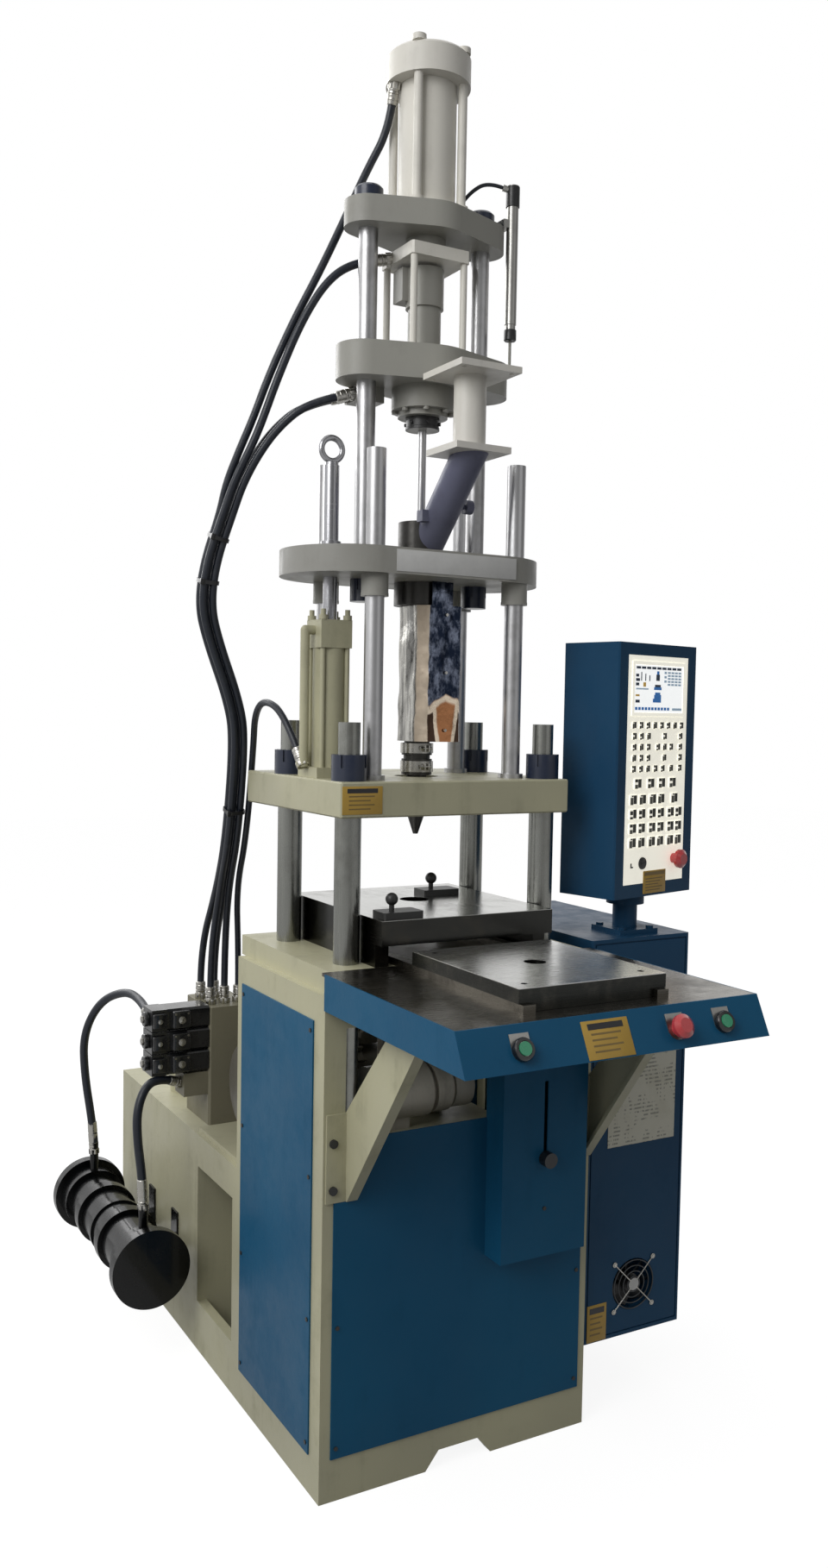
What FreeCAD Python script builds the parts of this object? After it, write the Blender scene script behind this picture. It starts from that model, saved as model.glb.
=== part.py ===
import FreeCAD, Part
import math
import os

# Vertical injection moulding machine. Millimetres, +Z up, front towards -Y.
# Coordinates are measured from the left front bottom corner of the base
# frame and moved to the middle of the bounding box when a piece is saved.

# ---- Base frame
FRAME_W = 600.0
FRAME_D = 420.0
FRAME_H = 947.0
FRAME_WALL = 22.0
FRAME_POST = 44.0
FRAME_SIDE_POST = 60.0
FRAME_SILL_Z = 110.0
FRAME_SIDE_SILL_Z = 95.0
FRAME_HEAD = 62.0
FRAME_CROSS_DROP = 337.0
FRAME_CROSS_H = 40.0
FRAME_BACK_SILL_DROP = 387.0
FRAME_TOP_EDGE = 40.0
NOTCH_X = 301.0
NOTCH_FOOT_W = 148.0
NOTCH_TOP_W = 90.0
NOTCH_H = 36.0
SHELF_X0 = 120.0
SHELF_X1 = 400.0
SHELF_D = 112.0
SHELF_T = 12.0

# ---- Slab and columns
SLAB_Y0 = 17.0
SLAB_SIDE_LEDGES = 32.0
SLAB_OVERHANG = 3.0
SLAB_T = 41.0
COLUMN_SHIFT_X = 1.0
COLUMN_SHIFT_Y = 2.0
COLUMN_SIDE_ROOM = 162.0
COLUMN_END_ROOM = 154.0
COLUMN_D = 50.0
COLUMN_END_D = 42.0
COLUMN_TOP_RISE = 176.0
RUNNING_GAP = 0.05
NUT_D = 66.0
NUT_H = 49.0
NUT_SLOT_W = 9.0
NUT_SLOT_DEPTH = 4.0
NUT_SLOTS = 4

# ---- Clamp
CROSSHEAD_SIDE_ROOM = 90.0
CROSSHEAD_END_ROOM = 76.0
CROSSHEAD_DROP = 547.0
CROSSHEAD_T = 50.0
CROSSHEAD_NUT_H = 40.0
CROSSHEAD_CORNER = 20.0
CLAMP_BARREL_R = 70.0
CLAMP_FLANGE = 170.0
CLAMP_FLANGE_T = 25.0
CLAMP_L = 347.0
CLAMP_GLAND_R = 64.0
CLAMP_GLAND_H = 25.0
CLAMP_ROD_R = 35.0
CLAMP_ROD_DROP = 67.0
CLAMP_BORE_DROP = 47.0

# ---- Platen
PLATEN_Y0 = 36.0
PLATEN_SIDE_ROOM = 90.0
PLATEN_OVERHANG = 34.0
DAYLIGHT = 276.0
PLATEN_T = 67.0
PLATEN_EDGE = 3.0
PLATEN_HOLE_R = 45.0
MOULD_BOLT_R = 6.0
MOULD_BOLT_DEPTH = 22.0
MOULD_BOLT_X = 105.0
MOULD_BOLT_Y = 70.0

# ---- Injection axis and guides
GUIDE_R = 18.5
GUIDE_INSIDE_COLUMN = 61.0
GUIDE_DY = 107.0
GUIDE_TOP_RISE = 690.0
GUIDE_FOOT_R = 25.0
GUIDE_FOOT_H = 9.0
UPPER_COLUMN_R = 19.0
UPPER_COLUMN_END_R = 17.0
UPPER_COLUMN_DX = 128.0

# ---- Seat plate
SEAT_R = 145.0
SEAT_LEFT_SHIFT = 8.0
SEAT_RIGHT_SHIFT = 49.0
SEAT_RISE = 456.0
SEAT_T = 50.0
BUSH_R = 26.0
BUSH_LIP_R = 26.6
BUSH_H = 42.0
BUSH_LIP_H = 6.0
SEAT_NUT_R = 26.0
SEAT_NUT_H = 44.0

# ---- Seat cylinder
LIFT_OUT = 72.0
LIFT_FOOT = 88.0
LIFT_FOOT_T = 20.0
LIFT_R = 32.0
LIFT_CAP = 66.0
LIFT_CAP_RISE = 318.0
LIFT_CAP_T = 54.0
LIFT_BORE_R = 22.0
LIFT_ROD_R = 14.0
LIFT_ROD_RISE = 136.0
LIFT_TIE_R = 5.0
LIFT_TIE_OFF = 26.0
LIFT_TIE_NUT_R = 8.5
LIFT_TIE_NUT_H = 9.0
LIFT_TIE_END = 20.0
LIFT_NUT_R = 20.0
LIFT_NUT_H = 18.0
LIFT_POST_R = 15.0
LIFT_POST_RISE = 214.0
PORT_R = 9.0
PORT_OFF = 52.0
PORT_RISE = 34.0
PORT_PIPE_RISE = 88.0
EYE_RING_R = 22.0
EYE_WIRE_R = 6.0
EYE_NECK_R = 7.0
EYE_COLLAR_R = 13.0
EYE_COLLAR_H = 6.0

# ---- Barrel, nozzle and guard
NOZZLE_TIP_DROP = 51.0
NOZZLE_TIP_R = 5.0
NOZZLE_CONE_L = 49.0
NOZZLE_R = 21.0
ADAPTOR_RISE = 70.0
ADAPTOR_L = 62.0
ADAPTOR_R = 31.0
ADAPTOR_GROOVE_R = 27.0
ADAPTOR_GROOVE_RISE = 32.0
ADAPTOR_GROOVE_H = 8.0
BARREL_R = 26.0
BARREL_FLANGE_R = 52.0
BARREL_FLANGE_H = 46.0
FEED_R = 45.0
FEED_H = 70.0
FEED_LIP_R = 50.0
FEED_LIP_H = 14.0
BARREL_BORE_R = 8.55
BARREL_BORE_DROP = 220.0
GUARD_LEFT = 32.0
GUARD_FRONT = 63.0
GUARD_SIDE = 100.0
GUARD_RISE = 5.0
GUARD_SHEET = 2.0
GUARD_CHAMFER = 10.0

# ---- Injection plates and cylinder
MID_RISE = 384.0
MID_T = 66.0
MID_END_R = 60.0
MID_MIDDLE_R = 97.0
TOP_RISE = 675.0
TOP_T = 50.0
TOP_END_R = 48.0
TOP_MIDDLE_R = 90.0
TOP_NUT_R = 28.0
TOP_NUT_H = 30.0
TOP_NUT_CHAMFER = 5.0
CYLINDER_R = 57.0
CYLINDER_CAP_R = 84.0
CYLINDER_CAP_RISE = 295.0
CYLINDER_CAP_T = 58.0
CYLINDER_CAP_STEP = 6.0
CYLINDER_FOOT_R = 62.0
CYLINDER_FOOT_T = 16.0
CYLINDER_BORE_R = 45.0
CYLINDER_TIE_R = 9.0
CYLINDER_TIE_OFF = 50.0
CYLINDER_TIE_NUT_H = 11.0
CYLINDER_TIE_NUT_R = 14.0
CYLINDER_PLUG_R = 12.0
CYLINDER_PLUG_H = 12.0
GLAND_R = 40.0
GLAND_T = 20.0
PISTON_ROD_R = 25.0
PISTON_ROD_RISE = 245.0
YOKE_SIDE = 130.0
YOKE_RISE = 241.0
YOKE_T = 24.0
YOKE_ROD_R = 7.0
YOKE_ROD_OFF = 56.0
YOKE_BOLT_R = 4.0
MOTOR_R = 38.0
MOTOR_CAP_R = 33.0
MOTOR_WAIST_RISE = 158.0
MOTOR_FLANGE_R = 47.0
MOTOR_FLANGE_T = 12.0
MOTOR_TOP_RISE = 234.0
MOTOR_PORT = 26.0
HOUSING_R = 63.0
HOUSING_H = 44.0
HOUSING_LOW_R = 50.0
HOUSING_LOW_H = 12.0
HOUSING_BOLT_R = 6.0
HOUSING_BOLT_H = 6.0
HOUSING_BOLTS = 8
COUPLING_R = 32.0
COUPLING_H = 24.0
SHAFT_R = 8.5
SHAFT_DROP = 80.0
KEY_R = 3.0

# ---- Hopper mount and chute
HOPPER_SHIFT = 8.0
HOPPER_FORWARD = 167.0
HOPPER_PLATE_W = 132.0
HOPPER_PLATE_FRONT = 77.0
HOPPER_PLATE_D = 142.0
HOPPER_PLATE_DROP = 9.0
HOPPER_PLATE_T = 12.0
HOPPER_TUBE_R = 31.0
HOPPER_BORE_R = 25.0
HOPPER_HOLE_R = 5.0
HOPPER_HOLE_OFF = 14.0
HOPPER_FLANGE_DROP = 154.0
HOPPER_FLANGE_T = 12.0
HOPPER_FLANGE_W = 120.0
HOPPER_FLANGE_FRONT = 55.0
HOPPER_FLANGE_D = 114.0
CHUTE_R = 33.0
CHUTE_BORE_R = 25.0
CHUTE_KNOB_R = 14.0
CHUTE_KNOB_L = 16.0
CHUTE_STUD_R = 5.0
CHUTE_STUD_L = 9.0
GATE_ROD_R = 3.5
GATE_ROD_LEFT = 32.0
GATE_BLOCK = 22.0

# ---- Linear transducer
SCALE_RIGHT = 184.0
SCALE_FORWARD = 32.0
SCALE_R = 12.0
SCALE_BORE_R = 5.0
SCALE_DROP = 141.0
SCALE_RISE = 95.0
SCALE_HEAD_H = 40.0
SCALE_HEAD_R = 13.0
SCALE_FOOT_H = 16.0
SCALE_FOOT_R = 10.5
SCALE_CLIP_H = 16.0
SCALE_ROD_R = 3.0
SCALE_ROD_RISE = 25.0
SCALE_LUG_T = 10.0
CABLE_R = 3.8
CABLE_RISE = 31.0
CABLE_GLAND_L = 24.0
CABLE_GLAND_R = 6.5
CABLE_SOCKET_L = 14.0
CABLE_BLOCK_W = 22.0
CABLE_BLOCK_D = 46.0
CABLE_STEPS = (
    (-55.0, 10.0, 86.0), (-84.0, 26.0, 67.0), (-98.0, 56.0, 39.0), (-100.0, 98.0, 17.0),
    (-102.0, 113.0, -21.0),
)
SCALE_LUG_D = 24.0

# ---- Table, apron and brackets
TABLE_X0 = -2.0
TABLE_OVERHANG = 8.0
TABLE_Y0 = -450.0
TABLE_LEAN = 33.0
TABLE_H = 66.0
TABLE_SHEET = 3.0
DECK_T = 6.0
DECK_GAP = 0.3
BRACKET_X = 5.0
BRACKET_ROOM = 50.0
BRACKET_TAB_W = 40.0
BRACKET_SHEET = 4.0
BRACKET_DROP = 381.0
BRACKET_TAB_H = 164.0
BRACKET_BACK_TOP_Y = -221.0
BRACKET_FRONT_TOP_Y = -311.0
BRACKET_LIP = 22.0
BRACKET_BOLT_RISE = (24.0, 111.0)
BOLT_HEAD_R = 8.0
BOLT_HEAD_H = 5.0
BUTTON_IN = (107.0, 88.0)
BUTTON_SLOPE_UP = 33.0
BUTTON_R = 11.0
BUTTON_OUT = 5.0
BUTTON_RING_R = 17.0
BUTTON_RING_H = 9.0
BUTTON_BODY_DEPTH = 8.0
STOP_IN = 188.0
STOP_R = 20.0
STOP_STEM_R = 11.0
STOP_CROWN_R = 12.0
STOP_H = 26.0
LEGEND_W = 36.0
LEGEND_T = 2.0
LEGEND_UP = 26.0

# ---- Slide table and die block
RAIL_IN = (43.0, 65.0)
RAIL_W = 24.0
RAIL_H = 14.0
RAIL_Y0 = -405.0
RAIL_Y1 = 240.0
RAIL_STOP_H = 8.0
SLIDE_ROOM = 80.0
SLIDE_Y0 = -395.0
SLIDE_D = 345.0
SLIDE_T = 25.0
SLIDE_GAP = 0.3
SLIDE_TONGUE_INSET = 30.0
SLIDE_HOLE_R = 6.0
SLIDE_BORE_R = 20.0
SLIDE_BORE_DEPTH = 8.0
BLOCK_Y0 = -8.0
BLOCK_ROOM = 58.0
BLOCK_SHORT = 20.0
BLOCK_RISE = 43.0
BLOCK_T = 47.0
BLOCK_HOLE_R = 30.0
RISER_W = 28.0
MOULD_CLAMP_OFF = ((-137.0, -182.0), (82.0, 50.0))
MOULD_CLAMP_W = 84.0
MOULD_CLAMP_D = 50.0
MOULD_CLAMP_T = 12.0
MOULD_KNOB_R = 12.0
MOULD_KNOB_H = 34.0
MOULD_STUD_R = 5.0

# ---- Blue panels
PANEL_T = 3.0
SIDE_PANEL_Y0 = 44.0
SIDE_PANEL_MARGIN = 28.0
SIDE_PANEL_Z0 = 75.0
SIDE_PANEL_DROP = 52.0
FRONT_PANEL_X0 = 22.0
FRONT_PANEL_MARGIN = 17.0
FRONT_PANEL_Z0 = 82.0
FRONT_PANEL_DROP = 269.0
COVER_IN = 250.0
COVER_MARGIN = 52.0
COVER_DROP = 542.0
COVER_TOP_DROP = 47.0
COVER_D = 60.0
COVER_SHEET = 3.0
COVER_SLOT_IN = 99.0
COVER_SLOT_RISE = 191.0
COVER_SLOT_L = 156.0
COVER_SLOT_W = 9.0
COVER_KNOB_R = 15.0
COVER_KNOB_L = 20.0
COVER_KNOB_STEM_R = 4.0
SCREW_R = 4.0
SCREW_H = 2.0
SCREW_IN = 20.0
SCREW_Z = (330.0, 600.0)

# ---- Pump unit behind the front panel
PUMP_FORWARD = 130.0
PUMP_DROP = 219.0
PUMP_R = 54.0
PUMP_X = (128.0, 250.0, 262.0, 296.0, 304.0, 345.0)
PUMP_RING_R = 50.0
PUMP_NECK_R = 40.0
PUMP_TAIL_R = 46.0
PUMP_FOOT_W = 60.0

# ---- Tank
TANK_D = 815.0
TANK_H = 497.0
TANK_BAY_D = 235.0
TANK_WINDOW_Z0 = 112.0
TANK_WINDOW_DROP = 72.0
TANK_SKIRT_H = 60.0
FILTER_X = 90.0
FILTER_BACK = 580.0
FILTER_R = 38.0
FILTER_H = 46.0
FILTER_CAP_R = 30.0
FILTER_CAP_H = 16.0
DRIVE_PLATE_T = 10.0
DRIVE_X0 = 70.0
DRIVE_X1 = 330.0
DRIVE_BACK = 128.0
DRIVE_R = 84.0
DRIVE_FIN_R = 98.0
DRIVE_FINS = 20
DRIVE_FIN_T = 5.0
DRIVE_COWL_L = 52.0
DRIVE_RISE = 125.0
DRIVE_FOOT_W = 150.0
DRIVE_BOX = 70.0
OIL_PUMP_R = 50.0
OIL_PUMP_L = 120.0
OIL_BELL_R = 72.0
OIL_BELL_L = 60.0

# ---- Manifold and valves
MANIFOLD_X0 = 43.0
MANIFOLD_X1 = 150.0
MANIFOLD_BACK = 285.0
MANIFOLD_D = 155.0
MANIFOLD_H = 275.0
MANIFOLD_EAR_X = -15.0
MANIFOLD_EAR_RISE = 73.0
MANIFOLD_EAR_H = 54.0
FITTING_R = 13.0
FITTING_SLEEVE_R = 10.5
FITTING_NUT_H = 12.0
FITTING_L = 28.0
VALVE_X0 = -92.0
VALVE_BODY_L = 35.0
VALVE_BACK = 1.0
VALVE_D = 66.0
VALVE_RISE = 130.0
VALVE_PITCH = 51.0
VALVE_COUNT = 3
VALVE_GAP = 2.0
VALVE_EDGE = 5.0

# ---- Oil cooler
COOLER_X = -120.0
COOLER_Z = 225.0
COOLER_BACK = 192.0
COOLER_L = 524.0
COOLER_CAP_R = 88.0
COOLER_CAP_L = 26.0
COOLER_HEAD_R = 74.0
COOLER_HEAD_L = 46.0
COOLER_SHELL_R = 62.0
COOLER_BAND_L = 14.0
COOLER_PORT_IN = (64.0, 56.0)
COOLER_PORT_H = 40.0
COOLER_SADDLE_IN = (178.0, 348.0)
COOLER_SADDLE_W = 30.0
COOLER_SADDLE_H = 90.0
COOLER_SADDLE_GAP = 0.3

# ---- Cabinet and fan
CABINET_GAP = 12.0
CABINET_W = 258.0
CABINET_Y0 = 20.0
CABINET_D = 495.0
CABINET_Z0 = 150.0
CABINET_SHORT = 97.0
CABINET_EDGE = 6.0
CABINET_DOOR_T = 3.0
CABINET_DOOR_INSET = 8.0
SPACER_R = 14.0
SPACER_IN_Y = (90.0, 70.0)
SPACER_IN_Z = (150.0, 200.0)
FAN_IN = 130.0
FAN_Z = 256.0
FAN_OPENING_R = 55.0
FAN_DEPTH = 40.0
FAN_HUB_R = 19.0
FAN_HUB_L = 22.0
FAN_BLADES = 7
FAN_TIP_R = 50.0
FAN_BLADE_T = 2.0
FAN_BLADE_W = 30.0
FAN_BLADE_TILT = 38.0
FAN_PIN_R = 5.0
GUARD_RINGS = (16.0, 28.0, 40.0, 52.0)
GUARD_WIRE_W = 3.0
GUARD_T = 3.5
GUARD_SPOKE_T = 2.5
GUARD_SPOKES = 4
GUARD_SPOKE_L = 74.0
GUARD_HUB_R = 12.0

# ---- Control pendant
PENDANT_IN = 30.0
PENDANT_FORWARD = 26.0
PENDANT_W = 268.0
PENDANT_D = 145.0
PENDANT_RISE = 85.0
PENDANT_H = 525.0
PENDANT_TURN = 13.9
PENDANT_EDGE = 6.0
PENDANT_FACE_X = 30.0
PENDANT_FACE_W = 206.0
PENDANT_FACE_Z = 28.0
PENDANT_FACE_H = 472.0
PENDANT_FACE_T = 3.0
SCREEN_W = 182.0
SCREEN_H = 112.0
SCREEN_TOP = 12.0
SCREEN_RIM = 7.0
SCREEN_DEPTH = 1.5
KEY_T = 2.5
SMALL_KEY_W = 12.0
SMALL_KEY_H = 12.0
SMALL_KEY_ROWS = (
    (328.5, (21.0, 44.5, 68.0, 91.5, 115.0, 138.0, 161.5, 185.0)),
    (306.0, (23.0, 47.0, 71.0, 127.0, 183.0)),
    (283.5, (23.0, 47.0, 71.0, 104.0, 127.0, 150.0, 183.0)),
    (261.0, (23.0, 47.0, 71.0, 127.0, 183.0)),
    (238.5, (23.0, 47.0, 71.0, 97.0, 122.0, 152.0, 183.0)),
)
LARGE_KEY_W = 24.0
LARGE_KEY_H = 20.0
LARGE_KEY_ROWS = (
    (208.0, (39.0, 83.0, 121.0, 159.0)),
    (175.0, (25.0, 56.0, 91.0, 120.0, 167.0)),
    (145.5, (25.0, 55.0, 91.0, 120.0, 155.5, 183.5)),
    (115.5, (25.0, 55.0, 91.0, 120.0, 155.5, 183.5)),
    (86.0, (25.0, 55.0, 91.0, 120.0, 155.5, 183.5)),
)
PENDANT_STOP_X = 172.0
PENDANT_STOP_Z = 46.0
POST_R = 26.0
POST_FLANGE_W = 100.0
POST_FLANGE_T = 10.0
POST_CAP_R = 40.0
POST_CAP_T = 12.0
POST_GAP = 0.3

# ---- Hoses
HOSE_R = 8.0
HOSE_OFFSETS = ((0.0, 0.0), (0.0, 20.0), (20.0, 20.0), (20.0, 0.0))
HOSE_PORT_IN = ((17.0, 40.0), (17.0, 107.0), (51.0, 107.0), (51.0, 40.0))
SEAT_HOSE_R = 7.0
SEAT_HOSE_OFFSET = (40.0, 0.0)
SEAT_HOSE_PORT_IN = (85.0, 40.0)
HOSE_LOW_STEPS = (
    (-24.0, 189.0, -214.0), (-50.0, 66.0, -79.0), (-56.0, 32.0, 33.0),
)
HOSE_MID_STEPS = (
    (-61.571, 0.429, 137.0), (-83.0, -18.0, 215.0), (-139.0, -42.0, 338.0), (-163.0, -59.0, 410.0),
    (-159.791, -68.093, 456.0),
)
HOSE_RISE_STEPS = (
    (-157.0, -76.0, 496.0), (-135.0, -103.0, 586.0),
)
HOSE_PLATE_STEPS = (
    (-322.0, 153.0, 645.0), (-300.0, 123.0, 703.0), (-270.0, 94.0, 754.0), (-225.0, 60.0, 798.0),
)
HOSE_YOKE_STEPS = (
    (-340.0, 154.0, 650.0), (-314.0, 126.0, 718.0), (-298.0, 113.0, 766.0), (-272.0, 96.0, 853.0),
    (-231.0, 78.0, 962.0), (-185.0, 60.0, 1043.0), (-134.0, 43.0, 1080.0),
)
HOSE_CAP_STEPS = (
    (-349.0, 176.0, 646.0), (-331.0, 150.0, 711.0), (-311.0, 130.0, 771.0), (-285.0, 110.0, 858.0),
    (-242.0, 94.0, 963.0), (-195.0, 79.0, 1060.0), (-147.0, 72.0, 1165.0), (-101.0, 64.0, 1271.0),
    (-68.0, 38.0, 1346.0),
)
FITTING_BED = 2.0
YOKE_PORT_BACK = 26.0
PLATE_PORT_LEFT = 135.0
PLATE_PORT_PITCH = 27.0
PLATE_PORT_BACK = 38.0
PLATE_PORT_W = 60.0
PLATE_PORT_D = 56.0
PLATE_PORT_H = 30.0
CAP_PORT_LEFT = 68.0
CAP_PORT_BACK = 14.0
HOSE_LEAD = 95.0
COOLER_HOSE_R = 10.0
COOLER_REAR_STEPS = (
    (-4.0, 474.0, 195.0), (-22.0, 478.0, 315.0), (-32.0, 454.0, 425.0), (-6.0, 398.0, 517.0),
    (36.0, 318.0, 555.0), (50.0, 238.0, 543.0),
)
COOLER_FRONT_STEPS = (
    (-5.0, 62.0, 200.0), (-14.0, 64.0, 270.0), (-14.0, 71.0, 339.0), (12.0, 85.0, 391.0),
    (56.0, 104.0, 393.0),
)
SEAT_HOSE_STEPS = (
    (-20.714, 5.286, 121.0), (-45.0, -60.0, 188.0), (-58.0, -140.0, 218.0), (-47.0, -215.0, 191.0),
)

# ---- Derived heights and places

def moved(steps, root):
    """Route of points given from a root point."""
    return [(root[0] + dx, root[1] + dy, root[2] + dz) for dx, dy, dz in steps]


SLAB_TOP = FRAME_H + SLAB_T
SLAB_W = FRAME_W - SLAB_SIDE_LEDGES
SLAB_X0 = (FRAME_W - SLAB_W) / 2
SLAB_D = FRAME_D + SLAB_OVERHANG
AXIS_X = FRAME_W / 2
COLUMN_X = AXIS_X - COLUMN_SHIFT_X
COLUMN_Y = FRAME_D / 2 + COLUMN_SHIFT_Y
AXIS_Y = COLUMN_Y
COLUMN_DX = FRAME_W - COLUMN_SIDE_ROOM
COLUMN_DY = FRAME_D - COLUMN_END_ROOM
CROSSHEAD_W = FRAME_W - CROSSHEAD_SIDE_ROOM
CROSSHEAD_D = FRAME_D - CROSSHEAD_END_ROOM
CROSSHEAD_X0 = COLUMN_X - CROSSHEAD_W / 2
CROSSHEAD_Y0 = COLUMN_Y - CROSSHEAD_D / 2
PLATEN_W = FRAME_W - PLATEN_SIDE_ROOM
PLATEN_X0 = COLUMN_X - PLATEN_W / 2
PLATEN_D = FRAME_D + PLATEN_OVERHANG
GUIDE_DX = COLUMN_DX / 2 - GUIDE_INSIDE_COLUMN
SEAT_X0 = AXIS_X - GUIDE_DX + SEAT_LEFT_SHIFT
SEAT_X1 = AXIS_X + GUIDE_DX - SEAT_RIGHT_SHIFT
LIFT_X = AXIS_X - UPPER_COLUMN_DX - LIFT_OUT
LIFT_Y = AXIS_Y
PORT_X = LIFT_X - PORT_OFF
GUARD_X0 = AXIS_X - GUARD_LEFT
GUARD_Y0 = AXIS_Y - GUARD_FRONT
HOPPER_X = AXIS_X + HOPPER_SHIFT
HOPPER_Y = AXIS_Y - HOPPER_FORWARD
HOPPER_PLATE_Y0 = HOPPER_Y - HOPPER_PLATE_FRONT
HOPPER_FLANGE_Y0 = HOPPER_Y - HOPPER_FLANGE_FRONT
GATE_ROD_X = AXIS_X - GATE_ROD_LEFT
SCALE_X = AXIS_X + SCALE_RIGHT
SCALE_Y = AXIS_Y - SCALE_FORWARD
TABLE_W = FRAME_W + TABLE_OVERHANG
BRACKET_SPACING = FRAME_W - BRACKET_ROOM
BLOCK_W = COLUMN_DX - BLOCK_ROOM
SLIDE_W = BLOCK_W - SLIDE_ROOM
SLIDE_X0 = AXIS_X - SLIDE_W / 2
BLOCK_X0 = COLUMN_X - BLOCK_W / 2
BLOCK_D = FRAME_D - BLOCK_SHORT
STOP_X = FRAME_W - STOP_IN
FRONT_PANEL_X1 = FRAME_W - FRONT_PANEL_MARGIN
COVER_X0 = FRAME_W - COVER_IN
COVER_X1 = FRAME_W - COVER_MARGIN
COVER_SLOT_X = COVER_X1 - COVER_SLOT_IN
SIDE_PANEL_Y1 = FRAME_D - SIDE_PANEL_MARGIN
CABINET_X0 = FRAME_W + CABINET_GAP
CABINET_H = FRAME_H - CABINET_SHORT
SPACER_Y = (SPACER_IN_Y[0], FRAME_D - SPACER_IN_Y[1])
SPACER_Z = (CABINET_Z0 + SPACER_IN_Z[0], CABINET_Z0 + CABINET_H - SPACER_IN_Z[1])
FAN_X = CABINET_X0 + FAN_IN
PUMP_Y = COLUMN_Y - PUMP_FORWARD
TANK_Y1 = FRAME_D + TANK_D
TANK_BAY_Y1 = FRAME_D + TANK_BAY_D
FILTER_Y = FRAME_D + FILTER_BACK
DRIVE_Y = FRAME_D + DRIVE_BACK
MANIFOLD_Y0 = FRAME_D + MANIFOLD_BACK
MANIFOLD_Y1 = MANIFOLD_Y0 + MANIFOLD_D
VALVE_Y0 = MANIFOLD_Y0 + VALVE_BACK
COOLER_Y0 = FRAME_D + COOLER_BACK
COOLER_Y1 = COOLER_Y0 + COOLER_L
VALVE_Z0 = TANK_H + VALVE_RISE
MANIFOLD_TOP_Z = TANK_H + MANIFOLD_H
MANIFOLD_EAR_Z0 = TANK_H + MANIFOLD_EAR_RISE
MANIFOLD_EAR_Z1 = MANIFOLD_EAR_Z0 + MANIFOLD_EAR_H
DRIVE_AXIS_Z = TANK_H + DRIVE_RISE
TANK_WINDOW_Z1 = TANK_H - TANK_WINDOW_DROP
FRAME_CROSS_Z = FRAME_H - FRAME_CROSS_DROP
FRAME_BACK_SILL_Z = FRAME_H - FRAME_BACK_SILL_DROP
CROSSHEAD_Z0 = FRAME_H - CROSSHEAD_DROP
CLAMP_Z0 = FRAME_H - CLAMP_L
CLAMP_ROD_TOP_Z = FRAME_H - CLAMP_ROD_DROP
CLAMP_BORE_TOP_Z = FRAME_H - CLAMP_BORE_DROP
BRACKET_Z0 = FRAME_H - BRACKET_DROP
BRACKET_Z1 = BRACKET_Z0 + BRACKET_TAB_H
SIDE_PANEL_Z1 = FRAME_H - SIDE_PANEL_DROP
FRONT_PANEL_Z1 = FRAME_H - FRONT_PANEL_DROP
COVER_Z0 = FRAME_H - COVER_DROP
COVER_Z1 = FRAME_H - COVER_TOP_DROP
COVER_SLOT_Z0 = COVER_Z0 + COVER_SLOT_RISE
COVER_SLOT_Z1 = COVER_SLOT_Z0 + COVER_SLOT_L
PUMP_Z = FRAME_H - PUMP_DROP
BLOCK_Z0 = SLAB_TOP + BLOCK_RISE
PLATEN_Z0 = SLAB_TOP + DAYLIGHT
COLUMN_TOP_Z = PLATEN_Z0 + COLUMN_TOP_RISE
GUIDE_TOP_Z = PLATEN_Z0 + GUIDE_TOP_RISE
SEAT_Z0 = PLATEN_Z0 + SEAT_RISE
LIFT_CAP_Z0 = PLATEN_Z0 + LIFT_CAP_RISE
LIFT_ROD_Z0 = PLATEN_Z0 + LIFT_ROD_RISE
LIFT_POST_TOP_Z = SEAT_Z0 + LIFT_POST_RISE
PORT_Z = LIFT_CAP_Z0 + PORT_RISE
PORT_PIPE_Z0 = PLATEN_Z0 + PORT_PIPE_RISE
NOZZLE_TIP_Z = PLATEN_Z0 - NOZZLE_TIP_DROP
NOZZLE_CONE_Z = NOZZLE_TIP_Z + NOZZLE_CONE_L
ADAPTOR_Z0 = PLATEN_Z0 + ADAPTOR_RISE
ADAPTOR_Z1 = ADAPTOR_Z0 + ADAPTOR_L
ADAPTOR_GROOVE_Z = ADAPTOR_Z0 + ADAPTOR_GROOVE_RISE
BARREL_BORE_Z0 = SEAT_Z0 - BARREL_BORE_DROP
GUARD_Z0 = ADAPTOR_Z1 + GUARD_RISE
SHAFT_Z0 = SEAT_Z0 - SHAFT_DROP
MID_Z0 = SEAT_Z0 + MID_RISE
TOP_Z0 = SEAT_Z0 + TOP_RISE
CYLINDER_CAP_Z0 = TOP_Z0 + CYLINDER_CAP_RISE
PISTON_ROD_TOP_Z = TOP_Z0 + PISTON_ROD_RISE
YOKE_Z0 = MID_Z0 + YOKE_RISE
MOTOR_WAIST_Z = MID_Z0 + MOTOR_WAIST_RISE
MOTOR_TOP_Z = MID_Z0 + MOTOR_TOP_RISE
HOPPER_PLATE_Z0 = MID_Z0 - HOPPER_PLATE_DROP
HOPPER_FLANGE_Z0 = MID_Z0 - HOPPER_FLANGE_DROP
SCALE_Z0 = TOP_Z0 - SCALE_DROP
SCALE_Z1 = TOP_Z0 + SCALE_RISE
SCALE_ROD_TOP_Z = TOP_Z0 + SCALE_ROD_RISE
BUTTON_X = (BUTTON_IN[0], FRAME_W - BUTTON_IN[1])
RAIL_X = (BLOCK_X0 + RAIL_IN[0], BLOCK_X0 + BLOCK_W - RAIL_IN[1])
MOULD_CLAMP_AT = [(AXIS_X + dx, AXIS_Y + dy) for dx, dy in MOULD_CLAMP_OFF]
BRACKET_BOLT_Z = [BRACKET_Z0 + rise for rise in BRACKET_BOLT_RISE]
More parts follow.
